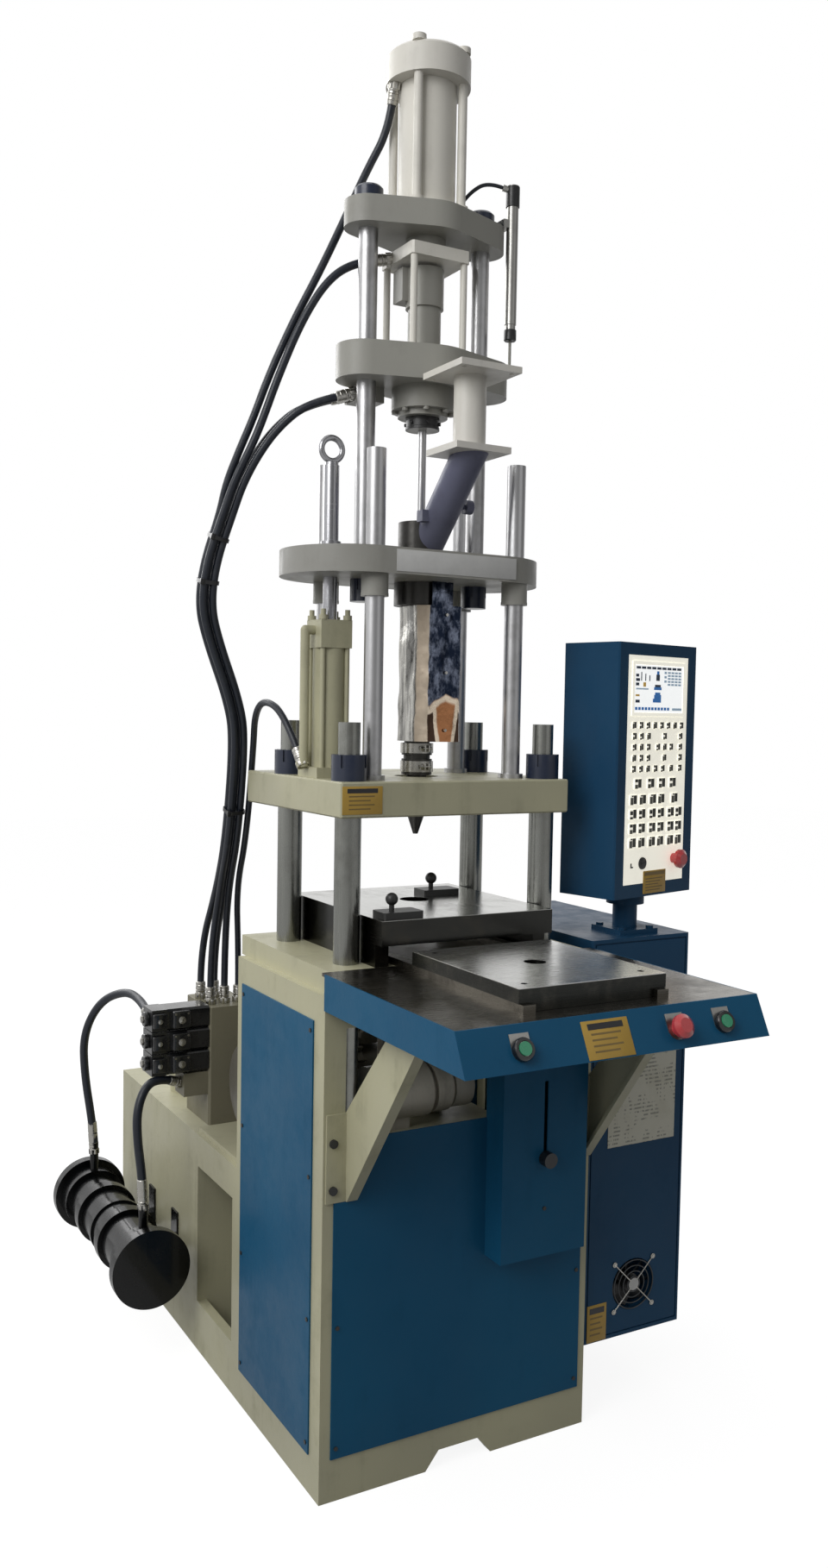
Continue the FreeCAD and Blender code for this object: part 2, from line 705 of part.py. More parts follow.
COOLER_PORT_Y = (COOLER_Y0 + COOLER_PORT_IN[0], COOLER_Y1 - COOLER_PORT_IN[1])
COOLER_SADDLE_Y = [COOLER_Y0 + inward for inward in COOLER_SADDLE_IN]
HOSE_PORTS = [(MANIFOLD_X0 + dx, MANIFOLD_Y0 + dy) for dx, dy in HOSE_PORT_IN]
SEAT_HOSE_PORT = (MANIFOLD_X0 + SEAT_HOSE_PORT_IN[0], MANIFOLD_Y0 + SEAT_HOSE_PORT_IN[1])
PENDANT_CORNER = (CABINET_X0 + PENDANT_IN, CABINET_Y0 - PENDANT_FORWARD)
PENDANT_Z0 = CABINET_Z0 + CABINET_H + PENDANT_RISE
HOSE_ROOT = (COLUMN_X - COLUMN_DX / 2, PLATEN_Y0 + PLATEN_D, PLATEN_Z0)
HOSE_LOW_PATH = moved(HOSE_LOW_STEPS, HOSE_ROOT)
HOSE_MID_PATH = moved(HOSE_MID_STEPS, HOSE_ROOT)
HOSE_RISE_PATH = moved(HOSE_RISE_STEPS, HOSE_ROOT)
HOSE_PLATE_PATH = moved(HOSE_PLATE_STEPS, (AXIS_X, AXIS_Y, PLATEN_Z0))
HOSE_YOKE_PATH = moved(HOSE_YOKE_STEPS, (AXIS_X, AXIS_Y, PLATEN_Z0))
HOSE_CAP_PATH = moved(HOSE_CAP_STEPS, (AXIS_X, AXIS_Y, PLATEN_Z0))
SEAT_HOSE_PATH = moved(SEAT_HOSE_STEPS, HOSE_ROOT)
COOLER_REAR_PATH = moved(COOLER_REAR_STEPS, (COOLER_X, COOLER_Y0, COOLER_Z))
COOLER_FRONT_PATH = moved(COOLER_FRONT_STEPS, (COOLER_X, COOLER_Y0, COOLER_Z))
YOKE_PORT_Y = AXIS_Y + YOKE_PORT_BACK
PLATE_PORT_X = AXIS_X - PLATE_PORT_LEFT
PLATE_PORT_Y = AXIS_Y + PLATE_PORT_BACK
CAP_PORT_X = AXIS_X - CAP_PORT_LEFT
CAP_PORT_Y = AXIS_Y + CAP_PORT_BACK
PENDANT_ANGLE = math.radians(PENDANT_TURN)
RIGHT_X = (
    PENDANT_CORNER[0] + PENDANT_W * math.cos(PENDANT_ANGLE) - PENDANT_EDGE / 2 * math.sin(PENDANT_ANGLE)
)
ORIGIN_X = (COOLER_X - COOLER_CAP_R + RIGHT_X) / 2
PLATEN_TOP = PLATEN_Z0 + PLATEN_T
SEAT_TOP = SEAT_Z0 + SEAT_T
MID_TOP = MID_Z0 + MID_T
TOP_TOP = TOP_Z0 + TOP_T
TABLE_X1 = TABLE_X0 + TABLE_W
APRON_SLOPE = math.atan2(TABLE_LEAN, TABLE_H)
APRON_Y0 = TABLE_Y0 - TABLE_LEAN
TABLE_Z0 = SLAB_TOP - TABLE_H
STOP_HEIGHT_OUT = LEGEND_T + STOP_H
BUTTON_FOOT_Y = APRON_Y0 + BUTTON_SLOPE_UP * math.sin(APRON_SLOPE)
FRONT_Y = BUTTON_FOOT_Y - STOP_HEIGHT_OUT * math.cos(APRON_SLOPE) - STOP_CROWN_R * math.sin(APRON_SLOPE)
ORIGIN_Y = (FRONT_Y + TANK_Y1) / 2
CABINET_TOP = CABINET_Z0 + CABINET_H
CABINET_MID_Y = CABINET_Y0 + CABINET_D / 2

SEAT_HOSE_FOOT = (PORT_X, LIFT_Y, PORT_PIPE_Z0)
PLATE_FEET = [
    (PLATE_PORT_X + FITTING_BED, PLATE_PORT_Y + dy, MID_Z0 - PLATE_PORT_H / 2)
    for dy in (0, PLATE_PORT_PITCH)
]
CABLE_PATH = moved(CABLE_STEPS, (SCALE_X, SCALE_Y, TOP_TOP))
YOKE_FOOT = (AXIS_X - YOKE_SIDE / 2 + FITTING_BED, YOKE_PORT_Y, YOKE_Z0 + YOKE_T / 2)
CAP_FOOT = (CAP_PORT_X, CAP_PORT_Y, CYLINDER_CAP_Z0 + FITTING_BED)
EAR_FOOT = (MANIFOLD_EAR_X + FITTING_BED, MANIFOLD_Y0 + VALVE_D / 2, (MANIFOLD_EAR_Z0 + MANIFOLD_EAR_Z1) / 2)

V = FreeCAD.Vector
UP = V(0, 0, 1)
ALONG_X = V(1, 0, 0)
ALONG_Y = V(0, 1, 0)


def box(x0, x1, y0, y1, z0, z1):
    """Axis aligned block between two corners."""
    return Part.makeBox(x1 - x0, y1 - y0, z1 - z0, V(x0, y0, z0))


def rod(x, y, z0, z1, radius):
    """Upright cylinder from z0 to z1."""
    return Part.makeCylinder(radius, z1 - z0, V(x, y, z0), UP)


def rod_x(y, z, x0, x1, radius):
    """Cylinder along X."""
    return Part.makeCylinder(radius, x1 - x0, V(x0, y, z), ALONG_X)


def rod_y(x, z, y0, y1, radius):
    """Cylinder along Y."""
    return Part.makeCylinder(radius, y1 - y0, V(x, y0, z), ALONG_Y)


def polygon(points):
    """Closed planar face through the points."""
    return Part.Face(Part.makePolygon(list(points) + [points[0]]))


def prism_x(profile, x0, x1):
    """Profile of (y, z) points drawn along X."""
    face = polygon([V(x0, y, z) for y, z in profile])
    return face.extrude(V(x1 - x0, 0, 0))


def prism_y(profile, y0, y1):
    """Profile of (x, z) points drawn along Y."""
    face = polygon([V(x, y0, z) for x, z in profile])
    return face.extrude(V(0, y1 - y0, 0))


def turned(x, y, profile):
    """Solid of revolution about the upright line at x, y from (r, z) points."""
    face = polygon([V(x + r, y, z) for r, z in profile])
    return face.revolve(V(x, y, 0), UP, 360)


def turned_x(y, z, profile):
    """Solid of revolution about a line along X from (x, r) points."""
    face = polygon([V(x, y, z + r) for x, r in profile])
    return face.revolve(V(0, y, z), ALONG_X, 360)


def turned_y(x, z, profile):
    """Solid of revolution about a line along Y from (y, r) points."""
    face = polygon([V(x, y, z + r) for y, r in profile])
    return face.revolve(V(x, 0, z), ALONG_Y, 360)


def joined(first, *others):
    """Fuse of the pieces with merged faces."""
    return first.fuse(list(others)).removeSplitter()


def corners(x, y, dx, dy):
    """Four places about x, y at dx and dy apart."""
    return [(x + sx * dx / 2, y + sy * dy / 2) for sx in (-1, 1) for sy in (-1, 1)]


def round_outline(x0, x1, y, end_r, middle_x, middle_r, z):
    """Plan outline round an end circle on each side and a larger middle one."""
    reach = middle_x - x0
    tilt = math.asin((middle_r - end_r) / reach)
    lean = V(-math.sin(tilt), -math.cos(tilt), 0)
    lean_right = V(math.sin(tilt), -math.cos(tilt), 0)
    left, middle, right = V(x0, y, z), V(middle_x, y, z), V(x1, y, z)

    def flip(point):
        return V(point.x, 2 * y - point.y, point.z)

    a = left + lean * end_r
    b = middle + lean * middle_r
    c = middle + lean_right * middle_r
    d = right + lean_right * end_r
    edges = [
        Part.LineSegment(a, b),
        Part.Arc(b, middle - ALONG_Y * middle_r, c),
        Part.LineSegment(c, d),
        Part.Arc(d, right + ALONG_X * end_r, flip(d)),
        Part.LineSegment(flip(d), flip(c)),
        Part.Arc(flip(c), middle + ALONG_Y * middle_r, flip(b)),
        Part.LineSegment(flip(b), flip(a)),
        Part.Arc(flip(a), left - ALONG_X * end_r, a),
    ]
    return Part.Face(Part.Wire([edge.toShape() for edge in edges]))


def stadium(x0, x1, y, radius, z):
    """Plan outline with two straight sides and two round ends."""
    a, b = V(x0, y - radius, z), V(x1, y - radius, z)
    c, d = V(x1, y + radius, z), V(x0, y + radius, z)
    edges = [
        Part.LineSegment(a, b),
        Part.Arc(b, V(x1 + radius, y, z), c),
        Part.LineSegment(c, d),
        Part.Arc(d, V(x0 - radius, y, z), a),
    ]
    return Part.Face(Part.Wire([edge.toShape() for edge in edges]))


def route_wire(points, label):
    """Straight runs joined by the largest tangent arcs that the runs allow."""
    places = [V(*point) for point in points]
    edges = []
    radii = []
    start = places[0]
    for before, corner, after in zip(places, places[1:], places[2:]):
        inward = corner - before
        onward = after - corner
        half_turn = inward.getAngle(onward) / 2
        radius = 0.45 * min(inward.Length, onward.Length) / math.tan(half_turn)
        reach = radius * math.tan(half_turn)
        inward.normalize()
        onward.normalize()
        first = corner - inward * reach
        last = corner + onward * reach
        bisector = onward - inward
        bisector.normalize()
        centre = corner + bisector * (radius / math.cos(half_turn))
        edges.append(Part.LineSegment(start, first).toShape())
        edges.append(Part.Arc(first, centre - bisector * radius, last).toShape())
        radii.append(radius)
        start = last
    edges.append(Part.LineSegment(start, places[-1]).toShape())
    print(label, "radii", [round(radius) for radius in radii])
    return Part.Wire(edges)


def tube(points, radius, label):
    """Round hose along a route of points."""
    path = route_wire(points, label)
    start = V(*points[0])
    section = Part.Wire([Part.makeCircle(radius, start, V(*points[1]) - start)])
    solid = path.makePipeShell([section], True, False)
    expected = math.pi * radius ** 2 * path.Length
    print(label, "length", round(path.Length), "volume ratio", round(solid.Volume / expected, 3))
    return solid


def hose_end(foot, target):
    """Direction of a fitting aimed from its foot at a route point, and where its hose ends."""
    outward = V(*target) - V(*foot)
    outward.normalize()
    return outward, tuple(V(*foot) + outward * FITTING_L)


def aimed_fitting(foot, target):
    """Hose end that stands on its foot and points at a route point."""
    outward, _ = hose_end(foot, target)
    return fitting(foot[0], foot[1], foot[2], outward)


def fitting(x, y, z, direction):
    """Hose end: hexagon nut and swaged sleeve, standing on a port."""
    nut = Part.Face(Part.makePolygon([
        V(FITTING_R * math.cos(math.radians(60 * k)), FITTING_R * math.sin(math.radians(60 * k)), 0)
        for k in range(7)
    ])).extrude(V(0, 0, FITTING_NUT_H))
    sleeve = Part.makeCylinder(FITTING_SLEEVE_R, FITTING_L - FITTING_NUT_H, V(0, 0, FITTING_NUT_H), UP)
    piece = joined(nut, sleeve)
    piece.Placement = FreeCAD.Placement(V(x, y, z), FreeCAD.Rotation(UP, direction))
    return piece


def save(name, *shapes):
    """Write the solids of one node, moved to the origin of the assembly."""
    solids = [solid for shape in shapes for solid in shape.Solids]
    piece = solids[0] if len(solids) == 1 else Part.makeCompound(solids)
    piece = piece.translated(V(-ORIGIN_X, -ORIGIN_Y, 0))
    piece.exportStep(os.path.join("parts", name + ".step"))
    print(name, len(solids), "solids", round(piece.Volume / 1e3), "cm3", piece.isValid())


def frame():
    """Welded sheet and tube frame with open sides, skirt notch and pump shelf."""
    wall, post = FRAME_WALL, FRAME_POST
    head = FRAME_H - FRAME_HEAD
    body = box(0, FRAME_W, 0, FRAME_D, 0, FRAME_H)
    cuts = [
        box(wall, FRAME_W - wall, wall, FRAME_D - wall, -wall, FRAME_H - wall),
        box(-wall, FRAME_W + wall, FRAME_SIDE_POST, FRAME_D - FRAME_SIDE_POST, FRAME_SIDE_SILL_Z, head),
        box(post, FRAME_W - post, -wall, wall, FRAME_SILL_Z, FRAME_CROSS_Z),
        box(post, FRAME_W - post, -wall, wall, FRAME_CROSS_Z + FRAME_CROSS_H, head),
        box(post, FRAME_W - post, FRAME_D - wall, FRAME_D + wall, FRAME_BACK_SILL_Z, head),
        box(FRAME_TOP_EDGE, FRAME_W - FRAME_TOP_EDGE, FRAME_TOP_EDGE, FRAME_D - FRAME_TOP_EDGE,
            head, FRAME_H + wall),
        prism_y([
            (NOTCH_X - NOTCH_FOOT_W / 2, 0),
            (NOTCH_X - NOTCH_TOP_W / 2, NOTCH_H),
            (NOTCH_X + NOTCH_TOP_W / 2, NOTCH_H),
            (NOTCH_X + NOTCH_FOOT_W / 2, 0),
        ], -wall, wall),
    ]
    shelf_z = FRAME_CROSS_Z + FRAME_CROSS_H
    shelf = box(SHELF_X0, SHELF_X1, 0, wall + SHELF_D, shelf_z, shelf_z + SHELF_T)
    return joined(body.cut(cuts), shelf)


def slab():
    """Base slab that carries the die block, bored for the four columns."""
    body = box(SLAB_X0, SLAB_X0 + SLAB_W, SLAB_Y0, SLAB_Y0 + SLAB_D, FRAME_H, SLAB_TOP)
    bores = [
        rod(x, y, FRAME_H - SLAB_T, SLAB_TOP + SLAB_T, COLUMN_D / 2 + RUNNING_GAP)
        for x, y in corners(COLUMN_X, COLUMN_Y, COLUMN_DX, COLUMN_DY)
    ]
    return body.cut(bores)


def slotted_nut(x, y, z, height, outer_r, bore_r):
    """Round nut with spanner slots."""
    nut = rod(x, y, z, z + height, outer_r).cut(rod(x, y, z - height, z + 2 * height, bore_r))
    slots = []
    for k in range(NUT_SLOTS):
        slot = box(x + outer_r - NUT_SLOT_DEPTH, x + 2 * outer_r, y - NUT_SLOT_W / 2, y + NUT_SLOT_W / 2,
                   z + height / 2, z + 2 * height)
        slot.rotate(V(x, y, z), UP, 360 / NUT_SLOTS * (k + 1 / 2))
        slots.append(slot)
    return nut.cut(slots)


def tie_columns():
    """Four columns, shouldered under the platen and over the crosshead."""
    pieces = []
    low = CROSSHEAD_Z0 + CROSSHEAD_T
    for x, y in corners(COLUMN_X, COLUMN_Y, COLUMN_DX, COLUMN_DY):
        shaft = rod(x, y, low, PLATEN_Z0, COLUMN_D / 2)
        upper = rod(x, y, PLATEN_Z0, COLUMN_TOP_Z, COLUMN_END_D / 2)
        lower = rod(x, y, CROSSHEAD_Z0 - CROSSHEAD_NUT_H, low, COLUMN_END_D / 2)
        pieces.append(joined(shaft, upper, lower))
    return pieces


def tie_nuts():
    """Slotted nuts over the platen and under the crosshead."""
    bore = COLUMN_END_D / 2 + RUNNING_GAP
    places = corners(COLUMN_X, COLUMN_Y, COLUMN_DX, COLUMN_DY)
    upper = [slotted_nut(x, y, PLATEN_TOP, NUT_H, NUT_D / 2, bore) for x, y in places]
    under = CROSSHEAD_Z0 - CROSSHEAD_NUT_H
    lower = [slotted_nut(x, y, under, CROSSHEAD_NUT_H, NUT_D / 2, bore) for x, y in places]
    return upper + lower


def crosshead():
    """Lower cross plate with the clamp piston rod."""
    x1 = CROSSHEAD_X0 + CROSSHEAD_W
    y1 = CROSSHEAD_Y0 + CROSSHEAD_D
    top = CROSSHEAD_Z0 + CROSSHEAD_T
    body = box(CROSSHEAD_X0, x1, CROSSHEAD_Y0, y1, CROSSHEAD_Z0, top)
    edges = [e for e in body.Edges if abs(e.tangentAt(0).z) > 0.5]
    body = body.makeChamfer(CROSSHEAD_CORNER, edges)
    bores = [
        rod(x, y, 0, top + CROSSHEAD_T, COLUMN_END_D / 2 + RUNNING_GAP)
        for x, y in corners(COLUMN_X, COLUMN_Y, COLUMN_DX, COLUMN_DY)
    ]
    return joined(body.cut(bores), rod(COLUMN_X, COLUMN_Y, top, CLAMP_ROD_TOP_Z, CLAMP_ROD_R))


def clamp_cylinder():
    """Clamp cylinder hung under the slab, open at the bottom for its rod."""
    half = CLAMP_FLANGE / 2
    flange = box(COLUMN_X - half, COLUMN_X + half, COLUMN_Y - half, COLUMN_Y + half,
                 FRAME_H - CLAMP_FLANGE_T, FRAME_H)
    barrel = turned(COLUMN_X, COLUMN_Y, [
        (0, CLAMP_Z0 - CLAMP_GLAND_H),
        (CLAMP_GLAND_R, CLAMP_Z0 - CLAMP_GLAND_H),
        (CLAMP_GLAND_R, CLAMP_Z0),
        (CLAMP_BARREL_R, CLAMP_Z0),
        (CLAMP_BARREL_R, FRAME_H - CLAMP_FLANGE_T),
        (0, FRAME_H - CLAMP_FLANGE_T),
    ])
    bore = rod(COLUMN_X, COLUMN_Y, 0, CLAMP_BORE_TOP_Z, CLAMP_ROD_R + RUNNING_GAP)
    return joined(flange, barrel).cut(bore)


def platen():
    """Upper platen with column bores, nozzle hole and mould bolt holes."""
    x1, y1 = PLATEN_X0 + PLATEN_W, PLATEN_Y0 + PLATEN_D
    body = box(PLATEN_X0, x1, PLATEN_Y0, y1, PLATEN_Z0, PLATEN_TOP)
    body = body.makeChamfer(PLATEN_EDGE, body.Edges)
    cuts = [
        rod(x, y, PLATEN_Z0 - PLATEN_T, PLATEN_TOP + PLATEN_T, COLUMN_END_D / 2 + RUNNING_GAP)
        for x, y in corners(COLUMN_X, COLUMN_Y, COLUMN_DX, COLUMN_DY)
    ]
    cuts.append(rod(AXIS_X, AXIS_Y, PLATEN_Z0 - PLATEN_T, PLATEN_TOP + PLATEN_T, PLATEN_HOLE_R))
    for x, y in corners(AXIS_X, AXIS_Y, 2 * MOULD_BOLT_X, 2 * MOULD_BOLT_Y):
        cuts.append(rod(x, y, PLATEN_Z0 - PLATEN_T, PLATEN_Z0 + MOULD_BOLT_DEPTH, MOULD_BOLT_R))
    return body.cut(cuts)


def guide_columns():
    """Four guide columns with foot collars on the platen."""
    pieces = []
    for x, y in corners(AXIS_X, AXIS_Y, 2 * GUIDE_DX, 2 * GUIDE_DY):
        foot = rod(x, y, PLATEN_TOP, PLATEN_TOP + GUIDE_FOOT_H, GUIDE_FOOT_R)
        pieces.append(joined(rod(x, y, PLATEN_TOP, GUIDE_TOP_Z, GUIDE_R), foot))
    return pieces


def seat_cylinder():
    """Cylinder that lifts the injection unit: foot, tube, cap, tie rods, port and pipe."""
    x, y = LIFT_X, LIFT_Y
    foot_top = PLATEN_TOP + LIFT_FOOT_T
    cap_top = LIFT_CAP_Z0 + LIFT_CAP_T
    half, cap = LIFT_FOOT / 2, LIFT_CAP / 2
    pieces = [
        rod(x, y, foot_top, LIFT_CAP_Z0, LIFT_R),
        box(x - cap, x + cap, y - cap, y + cap, LIFT_CAP_Z0, cap_top),
    ]
    for tx, ty in corners(x, y, 2 * LIFT_TIE_OFF, 2 * LIFT_TIE_OFF):
        pieces.append(rod(tx, ty, foot_top, cap_top + LIFT_TIE_END, LIFT_TIE_R))
        pieces.append(rod(tx, ty, cap_top, cap_top + LIFT_TIE_NUT_H, LIFT_TIE_NUT_R))
    pieces.append(rod(PORT_X, y, PORT_PIPE_Z0, PORT_Z, PORT_R))
    pieces.append(rod_x(y, PORT_Z, PORT_X, x, PORT_R))
    pieces.append(Part.makeSphere(PORT_R, V(PORT_X, y, PORT_Z)))
    pieces.append(aimed_fitting(SEAT_HOSE_FOOT, SEAT_HOSE_PATH[-1]))
    body = joined(box(x - half, x + half, y - half, y + half, PLATEN_TOP, foot_top), *pieces)
    passage = rod(x, y, foot_top, cap_top + LIFT_CAP_T, LIFT_ROD_R + RUNNING_GAP)
    chamber = rod(x, y, foot_top, LIFT_CAP_Z0, LIFT_BORE_R)
    return body.cut([passage, chamber])


def seat_plate():
    """Stadium plate with guide bushes, bores and passages."""
    body = stadium(SEAT_X0, SEAT_X1, AXIS_Y, SEAT_R, SEAT_Z0).extrude(V(0, 0, SEAT_T))
    bushes = []
    cuts = []
    for x, y in corners(AXIS_X, AXIS_Y, 2 * GUIDE_DX, 2 * GUIDE_DY):
        bushes.append(rod(x, y, SEAT_Z0 - BUSH_H, SEAT_Z0, BUSH_R))
        bushes.append(rod(x, y, SEAT_Z0 - BUSH_H, SEAT_Z0 - BUSH_H + BUSH_LIP_H, BUSH_LIP_R))
        cuts.append(rod(x, y, SEAT_Z0 - SEAT_T - BUSH_H, SEAT_TOP + SEAT_T, GUIDE_R + RUNNING_GAP))
    for x in (AXIS_X - UPPER_COLUMN_DX, AXIS_X + UPPER_COLUMN_DX):
        cuts.append(rod(x, AXIS_Y, SEAT_Z0 - SEAT_T, SEAT_TOP + SEAT_T, UPPER_COLUMN_END_R + RUNNING_GAP))
    cuts.append(rod(AXIS_X, AXIS_Y, SEAT_Z0 - SEAT_T, SEAT_TOP + SEAT_T, BARREL_R + RUNNING_GAP))
    cuts.append(rod(LIFT_X, LIFT_Y, SEAT_Z0 - SEAT_T, SEAT_TOP + SEAT_T, LIFT_ROD_R + RUNNING_GAP))
    return joined(body, *bushes).cut(cuts)


def seat_rod():
    """Lift rod, shouldered under the seat plate, with its nut and lifting post."""
    x, y = LIFT_X, LIFT_Y
    nut_top = SEAT_TOP + LIFT_NUT_H
    return turned(x, y, [
        (0, LIFT_ROD_Z0),
        (LIFT_ROD_R, LIFT_ROD_Z0),
        (LIFT_ROD_R, SEAT_TOP),
        (LIFT_NUT_R, SEAT_TOP),
        (LIFT_NUT_R, nut_top),
        (LIFT_POST_R, nut_top),
        (LIFT_POST_R, LIFT_POST_TOP_Z),
        (0, LIFT_POST_TOP_Z),
    ])


def eye_bolt():
    """Forged lifting eye on a collar."""
    collar_top = LIFT_POST_TOP_Z + EYE_COLLAR_H
    centre = collar_top + EYE_RING_R + EYE_WIRE_R / 2
    ring = Part.makeTorus(EYE_RING_R, EYE_WIRE_R, V(LIFT_X, LIFT_Y, centre), ALONG_Y)
    collar = rod(LIFT_X, LIFT_Y, LIFT_POST_TOP_Z, collar_top, EYE_COLLAR_R)
    neck = rod(LIFT_X, LIFT_Y, collar_top, centre - EYE_RING_R, EYE_NECK_R)
    return joined(ring, neck, collar)


def barrel():
    """Injection barrel: nozzle, adaptor, barrel tube, flange and feed housing."""
    flange_z = SEAT_Z0 - BARREL_FLANGE_H
    feed_top = SEAT_TOP + FEED_H
    lower = turned(AXIS_X, AXIS_Y, [
        (0, NOZZLE_TIP_Z),
        (NOZZLE_TIP_R, NOZZLE_TIP_Z),
        (NOZZLE_R, NOZZLE_CONE_Z),
        (NOZZLE_R, ADAPTOR_Z0),
        (ADAPTOR_R, ADAPTOR_Z0),
        (ADAPTOR_R, ADAPTOR_GROOVE_Z),
        (ADAPTOR_GROOVE_R, ADAPTOR_GROOVE_Z),
        (ADAPTOR_GROOVE_R, ADAPTOR_GROOVE_Z + ADAPTOR_GROOVE_H),
        (ADAPTOR_R, ADAPTOR_GROOVE_Z + ADAPTOR_GROOVE_H),
        (ADAPTOR_R, ADAPTOR_Z1),
        (BARREL_R, ADAPTOR_Z1),
        (BARREL_R, flange_z),
        (BARREL_FLANGE_R, flange_z),
        (BARREL_FLANGE_R, SEAT_Z0),
        (BARREL_R, SEAT_Z0),
        (BARREL_R, SEAT_TOP),
        (FEED_LIP_R, SEAT_TOP),
        (FEED_LIP_R, SEAT_TOP + FEED_LIP_H),
        (FEED_R, SEAT_TOP + FEED_LIP_H),
        (FEED_R, feed_top),
        (0, feed_top),
    ])
    return lower.cut(rod(AXIS_X, AXIS_Y, BARREL_BORE_Z0, feed_top + FEED_H, BARREL_BORE_R))


def heater_guard():
    """Bent stainless guard round the heater bands, open at both ends."""
    x1, y1 = GUARD_X0 + GUARD_SIDE, GUARD_Y0 + GUARD_SIDE
    tab_top = SEAT_Z0
    guard_top = SEAT_Z0 - BARREL_FLANGE_H
    sheet = GUARD_SHEET
    outer = box(GUARD_X0, x1, GUARD_Y0, y1, GUARD_Z0, guard_top)
    outer = outer.makeChamfer(GUARD_CHAMFER, [e for e in outer.Edges if abs(e.tangentAt(0).z) > 0.5])
    inner = box(GUARD_X0 + sheet, x1 - sheet, GUARD_Y0 + sheet, y1 - sheet, GUARD_Z0 - sheet,
                guard_top + sheet)
    corner_edges = [e for e in inner.Edges if abs(e.tangentAt(0).z) > 0.5]
    inner = inner.makeChamfer(GUARD_CHAMFER - sheet / 2, corner_edges)
    tab = box(GUARD_X0 + GUARD_CHAMFER, x1 - GUARD_CHAMFER, GUARD_Y0, GUARD_Y0 + sheet, guard_top, tab_top)
    return joined(outer.cut(inner), tab)


def upper_columns():
    """Two columns between the seat plate and the top plate."""
    pieces = []
    for x in (AXIS_X - UPPER_COLUMN_DX, AXIS_X + UPPER_COLUMN_DX):
        pieces.append(joined(
            rod(x, AXIS_Y, SEAT_TOP, TOP_Z0, UPPER_COLUMN_R),
            rod(x, AXIS_Y, SEAT_Z0 - SEAT_NUT_H, SEAT_TOP, UPPER_COLUMN_END_R),
            rod(x, AXIS_Y, TOP_Z0, TOP_TOP + TOP_NUT_H / 2, UPPER_COLUMN_END_R),
        ))
    return pieces


def column_nuts():
    """Nuts of the upper columns under the seat plate and on the top plate."""
    pieces = []
    bore = UPPER_COLUMN_END_R + RUNNING_GAP
    for x in (AXIS_X - UPPER_COLUMN_DX, AXIS_X + UPPER_COLUMN_DX):
        pieces.append(slotted_nut(x, AXIS_Y, SEAT_Z0 - SEAT_NUT_H, SEAT_NUT_H, SEAT_NUT_R, bore))
        cap = turned(x, AXIS_Y, [
            (0, TOP_TOP),
            (TOP_NUT_R, TOP_TOP),
            (TOP_NUT_R, TOP_TOP + TOP_NUT_H - TOP_NUT_CHAMFER),
            (TOP_NUT_R - TOP_NUT_CHAMFER, TOP_TOP + TOP_NUT_H),
            (0, TOP_TOP + TOP_NUT_H),
        ])
        pieces.append(cap.cut(rod(x, AXIS_Y, SEAT_TOP, TOP_TOP + TOP_NUT_H / 2, bore)))
    return pieces


def top_plate():
    """Top plate: wide in the middle, narrow round the columns."""
    x0, x1 = AXIS_X - UPPER_COLUMN_DX, AXIS_X + UPPER_COLUMN_DX
    face = round_outline(x0, x1, AXIS_Y, TOP_END_R, AXIS_X, TOP_MIDDLE_R, TOP_Z0)
    body = face.extrude(V(0, 0, TOP_T))
    gland = rod(AXIS_X, AXIS_Y, TOP_Z0 - GLAND_T, TOP_Z0, GLAND_R)
    cuts = [
        rod(x, AXIS_Y, TOP_Z0 - TOP_T, TOP_TOP + TOP_T, UPPER_COLUMN_END_R + RUNNING_GAP)
        for x in (x0, x1)
    ]
    cuts.append(rod(AXIS_X, AXIS_Y, TOP_Z0 - TOP_T, TOP_TOP + TOP_T, PISTON_ROD_R + RUNNING_GAP))
    end = V(*CABLE_PATH[-1])
    aim = V(*CABLE_PATH[-2]) - end
    foot = end - aim.normalize() * CABLE_SOCKET_L
    socket = Part.makeCylinder(CABLE_GLAND_R, CABLE_SOCKET_L, foot, aim)
    back = end.y + CABLE_GLAND_R * 2
    block = box(end.x - CABLE_BLOCK_W / 2, end.x + CABLE_BLOCK_W / 2, back - CABLE_BLOCK_D, back,
                TOP_Z0, foot.z + CABLE_GLAND_R / 2)
    return joined(body, gland, socket, block).cut(cuts)


